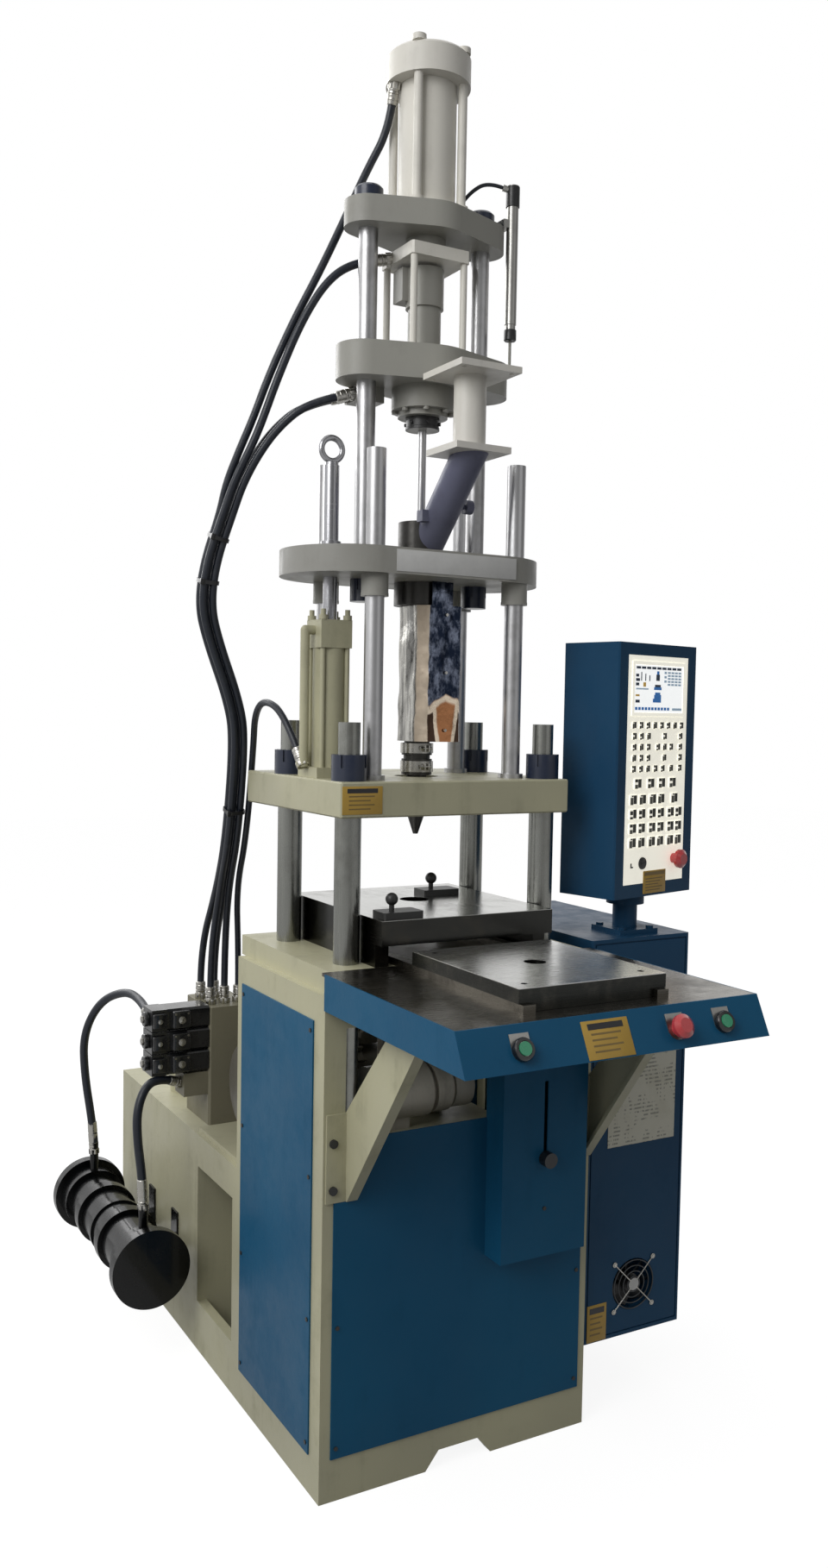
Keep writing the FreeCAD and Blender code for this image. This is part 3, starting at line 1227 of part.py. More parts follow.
def injection_cylinder():
    """Injection cylinder with foot ring, cap, tie rods and nuts."""
    cap_top = CYLINDER_CAP_Z0 + CYLINDER_CAP_T
    body = turned(AXIS_X, AXIS_Y, [
        (0, TOP_TOP),
        (CYLINDER_FOOT_R, TOP_TOP),
        (CYLINDER_FOOT_R, TOP_TOP + CYLINDER_FOOT_T),
        (CYLINDER_R, TOP_TOP + CYLINDER_FOOT_T),
        (CYLINDER_R, CYLINDER_CAP_Z0),
        (CYLINDER_CAP_R, CYLINDER_CAP_Z0),
        (CYLINDER_CAP_R, cap_top - CYLINDER_CAP_STEP),
        (CYLINDER_CAP_R - CYLINDER_CAP_STEP, cap_top),
        (CYLINDER_PLUG_R, cap_top),
        (CYLINDER_PLUG_R, cap_top + CYLINDER_PLUG_H),
        (0, cap_top + CYLINDER_PLUG_H),
    ])
    ties = []
    for x, y in corners(AXIS_X, AXIS_Y, 2 * CYLINDER_TIE_OFF, 2 * CYLINDER_TIE_OFF):
        ties.append(rod(x, y, TOP_TOP, CYLINDER_CAP_Z0, CYLINDER_TIE_R))
        ties.append(rod(x, y, TOP_TOP, TOP_TOP + CYLINDER_TIE_NUT_H, CYLINDER_TIE_NUT_R))
        ties.append(rod(x, y, cap_top, cap_top + CYLINDER_TIE_NUT_H, CYLINDER_TIE_NUT_R))
    port = aimed_fitting(CAP_FOOT, HOSE_CAP_PATH[-1])
    bore = rod(AXIS_X, AXIS_Y, TOP_Z0, CYLINDER_CAP_Z0, CYLINDER_BORE_R)
    return joined(body, *ties, port).cut(bore)


def hopper_mount():
    """Hopper plate, tube and lower flange, bored through for the granules."""
    half = HOPPER_PLATE_W / 2
    plate_y1 = HOPPER_PLATE_Y0 + HOPPER_PLATE_D
    plate_top = HOPPER_PLATE_Z0 + HOPPER_PLATE_T
    plate = box(HOPPER_X - half, HOPPER_X + half, HOPPER_PLATE_Y0, plate_y1, HOPPER_PLATE_Z0, plate_top)
    flange_top = HOPPER_FLANGE_Z0 + HOPPER_FLANGE_T
    half_flange = HOPPER_FLANGE_W / 2
    flange_y1 = HOPPER_FLANGE_Y0 + HOPPER_FLANGE_D
    flange = box(HOPPER_X - half_flange, HOPPER_X + half_flange, HOPPER_FLANGE_Y0, flange_y1,
                 HOPPER_FLANGE_Z0, flange_top)
    stem = rod(HOPPER_X, HOPPER_Y, flange_top, HOPPER_PLATE_Z0, HOPPER_TUBE_R)
    cuts = [rod(HOPPER_X, HOPPER_Y, HOPPER_FLANGE_Z0 - HOPPER_FLANGE_T, plate_top + HOPPER_PLATE_T,
                HOPPER_BORE_R)]
    middle_y = (HOPPER_PLATE_Y0 + plate_y1) / 2
    for x, y in corners(HOPPER_X, middle_y, HOPPER_PLATE_W - 2 * HOPPER_HOLE_OFF,
                        HOPPER_PLATE_D - 2 * HOPPER_HOLE_OFF):
        cuts.append(rod(x, y, HOPPER_PLATE_Z0 - HOPPER_PLATE_T, plate_top + HOPPER_PLATE_T, HOPPER_HOLE_R))
    return joined(plate, flange, stem).cut(cuts)


def hopper_chute():
    """Slanted feed tube from the hopper flange to the feed housing, with gate rod and lock knob."""
    drop = HOPPER_FLANGE_Z0 - (SEAT_TOP + FEED_LIP_H)
    lean = V(0, 1, -1)
    lean.normalize()
    start = V(HOPPER_X, HOPPER_Y, HOPPER_FLANGE_Z0) - lean * (2 * CHUTE_R)
    length = 4 * CHUTE_R + drop * math.sqrt(2)
    outer = Part.makeCylinder(CHUTE_R, length, start, lean)
    inner = Part.makeCylinder(CHUTE_BORE_R, length, start, lean)
    above = box(HOPPER_X - FRAME_W, HOPPER_X + FRAME_W, -FRAME_W, FRAME_W, HOPPER_FLANGE_Z0, MID_Z0 + MID_T)
    below = box(HOPPER_X - FRAME_W, HOPPER_X + FRAME_W, -FRAME_W, FRAME_W, SEAT_Z0 - SEAT_T,
                SEAT_TOP + FEED_LIP_H)
    housing = rod(AXIS_X, AXIS_Y, SEAT_Z0, MID_Z0, FEED_R + RUNNING_GAP)
    beyond = box(HOPPER_X - FRAME_W, HOPPER_X + FRAME_W, AXIS_Y, 2 * FRAME_W, SEAT_Z0, MID_Z0)
    mid_z = HOPPER_FLANGE_Z0 - drop / 2
    mid_y = HOPPER_Y + drop / 2
    knob_x = HOPPER_X + CHUTE_R - CHUTE_STUD_R
    stud = rod_x(mid_y, mid_z, knob_x, HOPPER_X + CHUTE_R + CHUTE_STUD_L, CHUTE_STUD_R)
    knob = rod_x(mid_y, mid_z, HOPPER_X + CHUTE_R + CHUTE_STUD_L,
                 HOPPER_X + CHUTE_R + CHUTE_STUD_L + CHUTE_KNOB_L, CHUTE_KNOB_R)
    block_x = HOPPER_X - CHUTE_R - GATE_BLOCK + CHUTE_STUD_L
    block = box(block_x, HOPPER_X - CHUTE_R / 2, mid_y + GATE_BLOCK / 2, mid_y + 3 * GATE_BLOCK / 2,
                mid_z - 3 * GATE_BLOCK / 2, mid_z - GATE_BLOCK / 2)
    rod_end = V(GATE_ROD_X, HOPPER_Y + CHUTE_STUD_R, HOPPER_FLANGE_Z0)
    gate_rod = Part.makeCylinder(GATE_ROD_R, drop * math.sqrt(2) * 0.62, rod_end - lean * GATE_BLOCK, lean)
    solid = joined(outer, stud, knob, block, gate_rod).cut([inner, above, below, housing, beyond])
    return max(solid.Solids, key=lambda piece: piece.Volume)


def transducer():
    """Linear transducer: tube, head, foot and clip on the top plate."""
    body = turned(SCALE_X, SCALE_Y, [
        (SCALE_BORE_R, SCALE_Z0 - SCALE_FOOT_H),
        (SCALE_FOOT_R, SCALE_Z0 - SCALE_FOOT_H),
        (SCALE_FOOT_R, SCALE_Z0),
        (SCALE_R, SCALE_Z0),
        (SCALE_R, SCALE_Z1),
        (SCALE_HEAD_R, SCALE_Z1),
        (SCALE_HEAD_R, SCALE_Z1 + SCALE_HEAD_H),
        (SCALE_BORE_R, SCALE_Z1 + SCALE_HEAD_H),
    ])
    head = rod(SCALE_X, SCALE_Y, SCALE_Z1, SCALE_Z1 + SCALE_HEAD_H, SCALE_HEAD_R)
    x0 = AXIS_X + UPPER_COLUMN_DX + TOP_NUT_R + SCALE_CLIP_H / 4
    clip = box(x0, SCALE_X - SCALE_R / 2, SCALE_Y - SCALE_R / 2, AXIS_Y, TOP_TOP, TOP_TOP + SCALE_CLIP_H)
    clip = clip.cut(rod(SCALE_X, SCALE_Y, TOP_Z0, SCALE_Z1, SCALE_BORE_R))
    start, aim = cable_gland()
    gland = Part.makeCylinder(CABLE_GLAND_R, CABLE_GLAND_L, start, aim)
    return joined(body, head, clip, gland)


def cable_gland():
    """Root of the cable gland on the transducer axis, and the way it points."""
    start = V(SCALE_X, SCALE_Y, SCALE_Z1 + CABLE_RISE)
    aim = V(*CABLE_PATH[0]) - start
    return start, aim.normalize()


def signal_cable():
    """Cable from the transducer head to its socket behind the top plate."""
    start, aim = cable_gland()
    return tube([tuple(start + aim * CABLE_GLAND_L)] + CABLE_PATH, CABLE_R, "signal_cable")


def mid_plate():
    """Injection plate, bored for the upper columns, with transducer lug and rod."""
    x0, x1 = AXIS_X - UPPER_COLUMN_DX, AXIS_X + UPPER_COLUMN_DX
    face = round_outline(x0, x1, AXIS_Y, MID_END_R, AXIS_X, MID_MIDDLE_R, MID_Z0)
    body = face.extrude(V(0, 0, MID_T))
    lug = box(x1, SCALE_X + SCALE_LUG_D / 2, SCALE_Y - SCALE_LUG_D / 2, SCALE_Y + SCALE_LUG_D / 2,
              MID_TOP - SCALE_LUG_T, MID_TOP)
    scale_rod = rod(SCALE_X, SCALE_Y, MID_TOP - SCALE_LUG_T, SCALE_ROD_TOP_Z, SCALE_ROD_R)
    ports = box(PLATE_PORT_X, PLATE_PORT_X + PLATE_PORT_W, PLATE_PORT_Y - PLATE_PORT_D / 4,
                PLATE_PORT_Y + 3 * PLATE_PORT_D / 4, MID_Z0 - PLATE_PORT_H, MID_Z0)
    cuts = [
        rod(x, AXIS_Y, MID_Z0 - MID_T, MID_TOP + MID_T, UPPER_COLUMN_R + RUNNING_GAP)
        for x in (x0, x1)
    ]
    ends = [
        aimed_fitting(foot, shifted(HOSE_PLATE_PATH, 0, foot[1] - PLATE_PORT_Y)[-1])
        for foot in PLATE_FEET
    ]
    return joined(body, lug, scale_rod, ports, *ends).cut(cuts)


def bearing_housing():
    """Screw bearing housing, bolts and coupling under the injection plate."""
    low = MID_Z0 - HOUSING_H
    neck = low - HOUSING_LOW_H
    body = turned(AXIS_X, AXIS_Y, [
        (0, neck - COUPLING_H),
        (COUPLING_R, neck - COUPLING_H),
        (COUPLING_R, neck),
        (HOUSING_LOW_R, neck),
        (HOUSING_LOW_R, low),
        (HOUSING_R, low),
        (HOUSING_R, MID_Z0),
        (0, MID_Z0),
    ])
    bolts = []
    for k in range(HOUSING_BOLTS):
        angle = 2 * math.pi * (k + 1 / 2) / HOUSING_BOLTS
        reach = (HOUSING_R + HOUSING_LOW_R) / 2
        bolts.append(rod(AXIS_X + reach * math.cos(angle), AXIS_Y + reach * math.sin(angle),
                         low - HOUSING_BOLT_H, low, HOUSING_BOLT_R))
    bore = rod(AXIS_X, AXIS_Y, SEAT_Z0, MID_Z0 - HOUSING_H / 2, SHAFT_R + RUNNING_GAP)
    return joined(body, *bolts).cut(bore)


def hydraulic_motor():
    """Screw drive motor on the injection plate, with a port block."""
    body = turned(AXIS_X, AXIS_Y, [
        (0, MID_TOP),
        (MOTOR_FLANGE_R, MID_TOP),
        (MOTOR_FLANGE_R, MID_TOP + MOTOR_FLANGE_T),
        (MOTOR_CAP_R, MID_TOP + MOTOR_FLANGE_T),
        (MOTOR_CAP_R, MOTOR_WAIST_Z),
        (MOTOR_R, MOTOR_WAIST_Z),
        (MOTOR_R, MOTOR_TOP_Z),
        (0, MOTOR_TOP_Z),
    ])
    port = box(AXIS_X - MOTOR_R - MOTOR_PORT / 2, AXIS_X, AXIS_Y, AXIS_Y + MOTOR_R,
               MOTOR_WAIST_Z + MOTOR_FLANGE_T, MOTOR_TOP_Z)
    return joined(body, port)


def yoke():
    """Yoke plate, four rods and the injection piston rod."""
    half = YOKE_SIDE / 2
    top = YOKE_Z0 + YOKE_T
    plate = box(AXIS_X - half, AXIS_X + half, AXIS_Y - half, AXIS_Y + half, YOKE_Z0, top)
    plate = plate.makeChamfer(YOKE_BOLT_R, [e for e in plate.Edges if abs(e.tangentAt(0).z) > 0.5])
    rods = [
        rod(x, y, MID_TOP, YOKE_Z0, YOKE_ROD_R)
        for x, y in corners(AXIS_X, AXIS_Y, 2 * YOKE_ROD_OFF, 2 * YOKE_ROD_OFF)
    ]
    piston = rod(AXIS_X, AXIS_Y, top, PISTON_ROD_TOP_Z, PISTON_ROD_R)
    return joined(plate, piston, aimed_fitting(YOKE_FOOT, HOSE_YOKE_PATH[-1]), *rods)


def screw_shaft():
    """Drive shaft of the screw with four splines where it enters the coupling."""
    top = MID_Z0 - HOUSING_H / 2
    return rod(AXIS_X, AXIS_Y, SHAFT_Z0, top, SHAFT_R)


def tray_profile(inset, top, bottom):
    """Side profile of the folded apron, drawn in by the inset."""
    lean = TABLE_LEAN / TABLE_H
    front = TABLE_Y0 + inset / math.cos(APRON_SLOPE)
    return [
        (-inset, top),
        (front - (SLAB_TOP - top) * lean, top),
        (front - (SLAB_TOP - bottom) * lean, bottom),
        (-inset, bottom),
    ]


def apron():
    """Folded sheet tray under the deck with a leaning front."""
    outer = prism_x(tray_profile(0, SLAB_TOP, TABLE_Z0), TABLE_X0, TABLE_X1)
    sheet = TABLE_SHEET
    hollow = prism_x(tray_profile(sheet, SLAB_TOP - DECK_T - sheet, TABLE_Z0 - sheet), TABLE_X0 + sheet,
                     TABLE_X1 - sheet)
    recess = box(TABLE_X0 + sheet, TABLE_X1 - sheet, TABLE_Y0 + sheet, FRAME_D, SLAB_TOP - DECK_T,
                 SLAB_TOP + DECK_T)
    bores = [apron_place(x, apron_bore()) for x in BUTTON_X + (STOP_X,)]
    return outer.cut([hollow, recess] + bores)


def apron_place(x, piece):
    """Move a piece drawn about the Z axis onto the leaning apron front."""
    base = V(x, BUTTON_FOOT_Y, TABLE_Z0 + BUTTON_SLOPE_UP * math.cos(APRON_SLOPE))
    turn = FreeCAD.Rotation(ALONG_X, 90 - math.degrees(APRON_SLOPE))
    piece = piece.copy()
    piece.Placement = FreeCAD.Placement(base, turn)
    return piece


def apron_bore():
    """Hole of a push button through the apron sheet."""
    return Part.makeCylinder(BUTTON_R + RUNNING_GAP, 4 * TABLE_SHEET, V(0, 0, -2 * TABLE_SHEET), UP)


def legend_plate():
    """Shield shaped legend plate, square above and round below, with its button hole."""
    half = LEGEND_W / 2
    a, b = V(-half, 0, 0), V(half, 0, 0)
    edges = [
        Part.LineSegment(V(-half, LEGEND_UP, 0), a),
        Part.Arc(a, V(0, -half, 0), b),
        Part.LineSegment(b, V(half, LEGEND_UP, 0)),
        Part.LineSegment(V(half, LEGEND_UP, 0), V(-half, LEGEND_UP, 0)),
    ]
    plate = Part.Face(Part.Wire([edge.toShape() for edge in edges])).extrude(V(0, 0, LEGEND_T))
    hole = Part.makeCylinder(BUTTON_R + RUNNING_GAP, 4 * LEGEND_T, V(0, 0, -LEGEND_T), UP)
    return plate.cut(hole)


def button_ring():
    """Black bezel of a push button, standing on the legend plate."""
    ring = Part.makeCylinder(BUTTON_RING_R, BUTTON_RING_H, V(0, 0, LEGEND_T), UP)
    bore = Part.makeCylinder(BUTTON_R + RUNNING_GAP, 4 * BUTTON_RING_H, V(0, 0, -BUTTON_RING_H), UP)
    return ring.cut(bore)


def button_cap():
    """Push button cap that slides in its bezel."""
    height = LEGEND_T + BUTTON_RING_H + BUTTON_OUT / 2 + BUTTON_BODY_DEPTH
    return Part.makeCylinder(BUTTON_R, height, V(0, 0, -BUTTON_BODY_DEPTH), UP)


def stop_mushroom():
    """Emergency stop: stem and domed mushroom head."""
    stem_h = LEGEND_T + STOP_H / 2
    stem = Part.makeCylinder(STOP_STEM_R, stem_h + BUTTON_BODY_DEPTH, V(0, 0, -BUTTON_BODY_DEPTH), UP)
    rim = STOP_H / 4
    crown = STOP_HEIGHT_OUT - stem_h - rim
    head = Part.makeCylinder(STOP_R, rim, V(0, 0, stem_h), UP)
    dome = Part.makeCone(STOP_R, STOP_CROWN_R, crown, V(0, 0, stem_h + rim), UP)
    return joined(stem, head, dome)


def deck():
    """Table top with the two slide rails and their front stops."""
    x0, x1 = TABLE_X0 + TABLE_SHEET, TABLE_X1 - TABLE_SHEET
    y0 = TABLE_Y0 + TABLE_SHEET
    plate = box(x0, x1, y0, SLAB_Y0 - DECK_GAP, SLAB_TOP - DECK_T, SLAB_TOP)
    pieces = []
    for x in RAIL_X:
        pieces.append(box(x, x + RAIL_W, RAIL_Y0, RAIL_Y1, SLAB_TOP, SLAB_TOP + RAIL_H))
    return joined(plate, *pieces)


def slide_plate():
    """Sliding mould carrier with its guide tongue, dowel holes and centre recess."""
    z0 = SLAB_TOP + RAIL_H + SLIDE_GAP
    x1, y1 = SLIDE_X0 + SLIDE_W, SLIDE_Y0 + SLIDE_D
    plate = box(SLIDE_X0, x1, SLIDE_Y0, y1, z0, z0 + SLIDE_T)
    tongue = box(RAIL_X[0] + RAIL_W + 2 * SLIDE_GAP, RAIL_X[1] - 2 * SLIDE_GAP, SLIDE_Y0, y1,
                 SLAB_TOP + SLIDE_GAP, z0)
    top = z0 + SLIDE_T
    middle_y = (SLIDE_Y0 + y1) / 2
    cuts = [rod(AXIS_X, middle_y, top - SLIDE_BORE_DEPTH, top + SLIDE_T, SLIDE_BORE_R)]
    inner_w, inner_d = SLIDE_W - 2 * SLIDE_TONGUE_INSET, SLIDE_D - 2 * SLIDE_TONGUE_INSET
    for x, y in corners(AXIS_X, middle_y, inner_w, inner_d):
        cuts.append(rod(x, y, top - SLIDE_T / 2, top + SLIDE_T, SLIDE_HOLE_R))
    return joined(plate, tongue).cut(cuts)


def die_block():
    """Lower die plate on two risers, with the locating hole on the injection axis."""
    x1, y1 = BLOCK_X0 + BLOCK_W, BLOCK_Y0 + BLOCK_D
    top = BLOCK_Z0 + BLOCK_T
    body = box(BLOCK_X0, x1, BLOCK_Y0, y1, BLOCK_Z0, top)
    y_foot = max(BLOCK_Y0, SLAB_Y0)
    risers = [
        box(BLOCK_X0, BLOCK_X0 + RISER_W, y_foot, y1, SLAB_TOP, BLOCK_Z0),
        box(x1 - RISER_W, x1, y_foot, y1, SLAB_TOP, BLOCK_Z0),
    ]
    hole = rod(AXIS_X, AXIS_Y, BLOCK_Z0 - BLOCK_T, top + BLOCK_T, BLOCK_HOLE_R)
    return joined(body, *risers).cut(hole)


def mould_clamps():
    """Strap clamps on the die plate, each with a round knob."""
    top = BLOCK_Z0 + BLOCK_T
    pieces = []
    for x, y in MOULD_CLAMP_AT:
        half_w, half_d = MOULD_CLAMP_W / 2, MOULD_CLAMP_D / 2
        strap = box(x - half_w, x + half_w, y - half_d, y + half_d,
                    top, top + MOULD_CLAMP_T)
        strap = strap.makeChamfer(SLIDE_GAP * 10, [e for e in strap.Edges if abs(e.tangentAt(0).z) > 0.5])
        stud_x = x - MOULD_CLAMP_W / 6
        knob_z = top + MOULD_KNOB_H
        stud = rod(stud_x, y, top, knob_z, MOULD_STUD_R)
        ball = Part.makeSphere(MOULD_KNOB_R, V(stud_x, y, knob_z))
        pieces.append(joined(strap, stud, ball))
    return pieces


def bracket(x, lip_x):
    """Folded table bracket: bolted tab, sloping web, lower lip and top foot."""
    sheet = BRACKET_SHEET
    web_x = x + BRACKET_TAB_W
    lip_x += web_x
    top = SLAB_TOP - DECK_T - TABLE_SHEET
    tab = box(x, web_x, -sheet, 0, BRACKET_Z0, BRACKET_Z1)
    profile = [
        (0, BRACKET_Z0),
        (0, BRACKET_Z1),
        (BRACKET_BACK_TOP_Y, top),
        (BRACKET_FRONT_TOP_Y, top),
        (-2 * sheet, BRACKET_Z0),
    ]
    web = prism_x(profile, web_x, web_x + sheet)
    lip = prism_x([
        (-2 * sheet, BRACKET_Z0),
        (BRACKET_FRONT_TOP_Y, top),
        (BRACKET_FRONT_TOP_Y + 2 * sheet, top),
        (0, BRACKET_Z0),
    ], lip_x, lip_x + BRACKET_LIP)
    foot = box(lip_x, lip_x + BRACKET_LIP, BRACKET_FRONT_TOP_Y, BRACKET_BACK_TOP_Y, top - sheet, top)
    return joined(tab, web, lip, foot)


def side_panels():
    """Blue cover sheets on the left and right of the frame."""
    left = box(-PANEL_T, 0, SIDE_PANEL_Y0, SIDE_PANEL_Y1, SIDE_PANEL_Z0, SIDE_PANEL_Z1)
    right = box(FRAME_W, FRAME_W + PANEL_T, SIDE_PANEL_Y0, SIDE_PANEL_Y1, SIDE_PANEL_Z0, SIDE_PANEL_Z1)
    return [left, right]


def front_panel():
    """Blue front sheet with the raised cover box and its slot."""
    sheet = box(FRONT_PANEL_X0, FRONT_PANEL_X1, -PANEL_T, 0, FRONT_PANEL_Z0, FRONT_PANEL_Z1)
    upper = box(COVER_X0, COVER_X1, -PANEL_T, 0, FRONT_PANEL_Z1 - PANEL_T, COVER_Z1)
    shell = box(COVER_X0, COVER_X1, -COVER_D, -PANEL_T, COVER_Z0, COVER_Z1)
    hollow = box(COVER_X0 + COVER_SHEET, COVER_X1 - COVER_SHEET, -COVER_D + COVER_SHEET, -PANEL_T,
                 COVER_Z0 + COVER_SHEET, COVER_Z1 - COVER_SHEET)
    slot = box(COVER_SLOT_X - COVER_SLOT_W / 2, COVER_SLOT_X + COVER_SLOT_W / 2, -COVER_D - COVER_SHEET,
               -COVER_D + 2 * COVER_SHEET, COVER_SLOT_Z0, COVER_SLOT_Z1)
    reach = BRACKET_TAB_W + BRACKET_LIP + SLIDE_GAP
    notches = [
        box(x - SLIDE_GAP, x + reach, -FRAME_WALL, FRAME_WALL, BRACKET_Z0 - SLIDE_GAP, FRAME_H)
        for x in (BRACKET_X, BRACKET_X + BRACKET_SPACING)
    ]
    return joined(sheet.cut(notches), upper, shell.cut([hollow, slot]))


def cover_knob():
    """Setting knob on a stem through the slot, held by an inner washer."""
    z = COVER_SLOT_Z0 + COVER_KNOB_STEM_R + SLIDE_GAP
    front = -COVER_D - SLIDE_GAP
    inside = -COVER_D + COVER_SHEET + SLIDE_GAP
    return joined(
        rod_y(COVER_SLOT_X, z, front - COVER_KNOB_L, front, COVER_KNOB_R),
        rod_y(COVER_SLOT_X, z, front, inside, COVER_KNOB_STEM_R),
        rod_y(COVER_SLOT_X, z, inside, inside + COVER_SHEET, COVER_KNOB_R * 3 / 4),
    )


def screws():
    """Panel screws and bracket bolts."""
    pieces = []
    for z in (SIDE_PANEL_Z0 + SCREW_IN, *SCREW_Z, SIDE_PANEL_Z1 - SCREW_IN):
        for y in (SIDE_PANEL_Y0 + SCREW_IN / 2, SIDE_PANEL_Y1 - SCREW_IN / 2):
            pieces.append(rod_x(y, z, -PANEL_T - SCREW_H, -PANEL_T, SCREW_R))
    for x in (FRONT_PANEL_X0 + SCREW_IN / 2, FRONT_PANEL_X1 - SCREW_IN / 2):
        for z in (FRONT_PANEL_Z0 + SCREW_IN, SCREW_Z[0]):
            pieces.append(rod_y(x, z, -PANEL_T - SCREW_H, -PANEL_T, SCREW_R))
    for x in (BRACKET_X, BRACKET_X + BRACKET_SPACING):
        for z in BRACKET_BOLT_Z:
            bolt_y = -BRACKET_SHEET - BOLT_HEAD_H
            pieces.append(rod_y(x + BRACKET_TAB_W / 3, z, bolt_y, -BRACKET_SHEET, BOLT_HEAD_R))
    pieces.append(rod_y(COVER_SLOT_X, (COVER_Z0 + COVER_SLOT_Z0) / 2, -COVER_D - SCREW_H, -COVER_D, SCREW_R))
    return pieces


def pump_unit():
    """Hydraulic unit on the shelf behind the front panel."""
    p = PUMP_X
    body = turned_x(PUMP_Y, PUMP_Z, [
        (p[0], 0), (p[0], PUMP_R), (p[1], PUMP_R), (p[1], PUMP_NECK_R), (p[2], PUMP_NECK_R),
        (p[2], PUMP_RING_R), (p[3], PUMP_RING_R), (p[3], PUMP_NECK_R), (p[4], PUMP_NECK_R),
        (p[4], PUMP_TAIL_R), (p[5], PUMP_TAIL_R), (p[5], 0),
    ])
    shelf_top = FRAME_CROSS_Z + FRAME_CROSS_H + SHELF_T
    foot = box(p[0] + PUMP_FOOT_W / 3, p[0] + 4 * PUMP_FOOT_W / 3, PUMP_Y - PUMP_FOOT_W / 2,
               PUMP_Y + PUMP_FOOT_W / 2, shelf_top, PUMP_Z)
    return joined(body, foot)


def tank():
    """Oil tank with an open pump bay at the front, windows, skirt gap and filter."""
    wall = FRAME_WALL
    y0 = FRAME_D
    body = box(0, FRAME_W, y0, TANK_Y1, 0, TANK_H)
    bay = box(wall, FRAME_W - wall, y0 + wall, TANK_BAY_Y1, -wall, TANK_H + wall)
    window = box(-wall, FRAME_W + wall, y0 + wall, TANK_BAY_Y1, TANK_WINDOW_Z0, TANK_WINDOW_Z1)
    under = box(wall, FRAME_W - wall, TANK_BAY_Y1 + wall, TANK_Y1 - wall, -wall, TANK_SKIRT_H)
    top = TANK_H + FILTER_H
    strainer = turned(FILTER_X, FILTER_Y, [
        (0, TANK_H), (FILTER_R, TANK_H), (FILTER_R, top), (FILTER_CAP_R, top),
        (FILTER_CAP_R, top + FILTER_CAP_H), (0, top + FILTER_CAP_H),
    ])
    plate = box(wall / 2, FRAME_W - wall / 2, y0 + wall / 2, TANK_BAY_Y1 + wall, TANK_H,
                TANK_H + DRIVE_PLATE_T)
    return joined(body.cut([bay, window, under]), strainer, plate)


def drive_motor():
    """Finned electric motor with cowl, terminal box, bell housing and oil pump."""
    y, z = DRIVE_Y, DRIVE_AXIS_Z
    base = TANK_H + DRIVE_PLATE_T
    body = rod_x(y, z, DRIVE_X0, DRIVE_X1, DRIVE_R)
    cowl = rod_x(y, z, DRIVE_X0, DRIVE_X0 + DRIVE_COWL_L, DRIVE_FIN_R)
    fins = []
    for k in range(DRIVE_FINS):
        fin = box(DRIVE_X0 + DRIVE_COWL_L, DRIVE_X1, y - DRIVE_FIN_T / 2, y + DRIVE_FIN_T / 2, z,
                  z + DRIVE_FIN_R)
        fin.rotate(V(0, y, z), ALONG_X, 360 / DRIVE_FINS * k)
        fins.append(fin)
    half = DRIVE_FOOT_W / 2
    foot = box(DRIVE_X0 + DRIVE_COWL_L * 3 / 2, DRIVE_X1 - DRIVE_COWL_L / 2, y - half, y + half, base, z)
    case = box(DRIVE_X1 - 2 * DRIVE_BOX, DRIVE_X1 - DRIVE_BOX, y - DRIVE_BOX / 2, y + DRIVE_BOX / 2, z,
               z + DRIVE_FIN_R + DRIVE_BOX / 3)
    bell = rod_x(y, z, DRIVE_X1, DRIVE_X1 + OIL_BELL_L, OIL_BELL_R)
    pump = rod_x(y, z, DRIVE_X1 + OIL_BELL_L, DRIVE_X1 + OIL_BELL_L + OIL_PUMP_L, OIL_PUMP_R)
    return joined(body, cowl, foot, case, bell, pump, *fins)


def manifold():
    """Valve manifold on the tank with the hose fittings and a side ear."""
    body = box(MANIFOLD_X0, MANIFOLD_X1, MANIFOLD_Y0, MANIFOLD_Y1, TANK_H, MANIFOLD_TOP_Z)
    body = body.makeChamfer(VALVE_EDGE, [e for e in body.Edges if abs(e.tangentAt(0).z) > 0.5])
    ear = box(MANIFOLD_EAR_X, MANIFOLD_X0 + 2 * VALVE_EDGE, MANIFOLD_Y0 + VALVE_EDGE, MANIFOLD_Y0 + VALVE_D,
              MANIFOLD_EAR_Z0, MANIFOLD_EAR_Z1)
    places = HOSE_PORTS + [SEAT_HOSE_PORT]
    ends = [fitting(x, y, MANIFOLD_TOP_Z, UP) for x, y in places]
    ends.append(aimed_fitting(EAR_FOOT, COOLER_FRONT_PATH[-1]))
    return joined(body, ear, *ends)


def valve_stack():
    """Solenoid valves in a column: a coil and a body each."""
    pieces = []
    for k in range(VALVE_COUNT):
        z0 = VALVE_Z0 + k * VALVE_PITCH
        z1 = z0 + VALVE_PITCH - VALVE_GAP
        coil = box(VALVE_X0 + VALVE_BODY_L, MANIFOLD_X0, VALVE_Y0, VALVE_Y0 + VALVE_D, z0, z1)
        coil = coil.makeChamfer(VALVE_EDGE, [e for e in coil.Edges if abs(e.tangentAt(0).x) > 0.5])
        body = box(VALVE_X0, VALVE_X0 + VALVE_BODY_L, VALVE_Y0 + VALVE_GAP, VALVE_Y0 + VALVE_D, z0, z1)
        pieces.append(joined(coil, body))
    end_z = VALVE_Z0 + VALVE_COUNT * VALVE_PITCH - VALVE_PITCH / 2
    port = fitting(VALVE_X0 + VALVE_BODY_L / 2, VALVE_Y0 + VALVE_D, end_z, ALONG_Y)
    pieces[-1] = joined(pieces[-1], port)
    return pieces


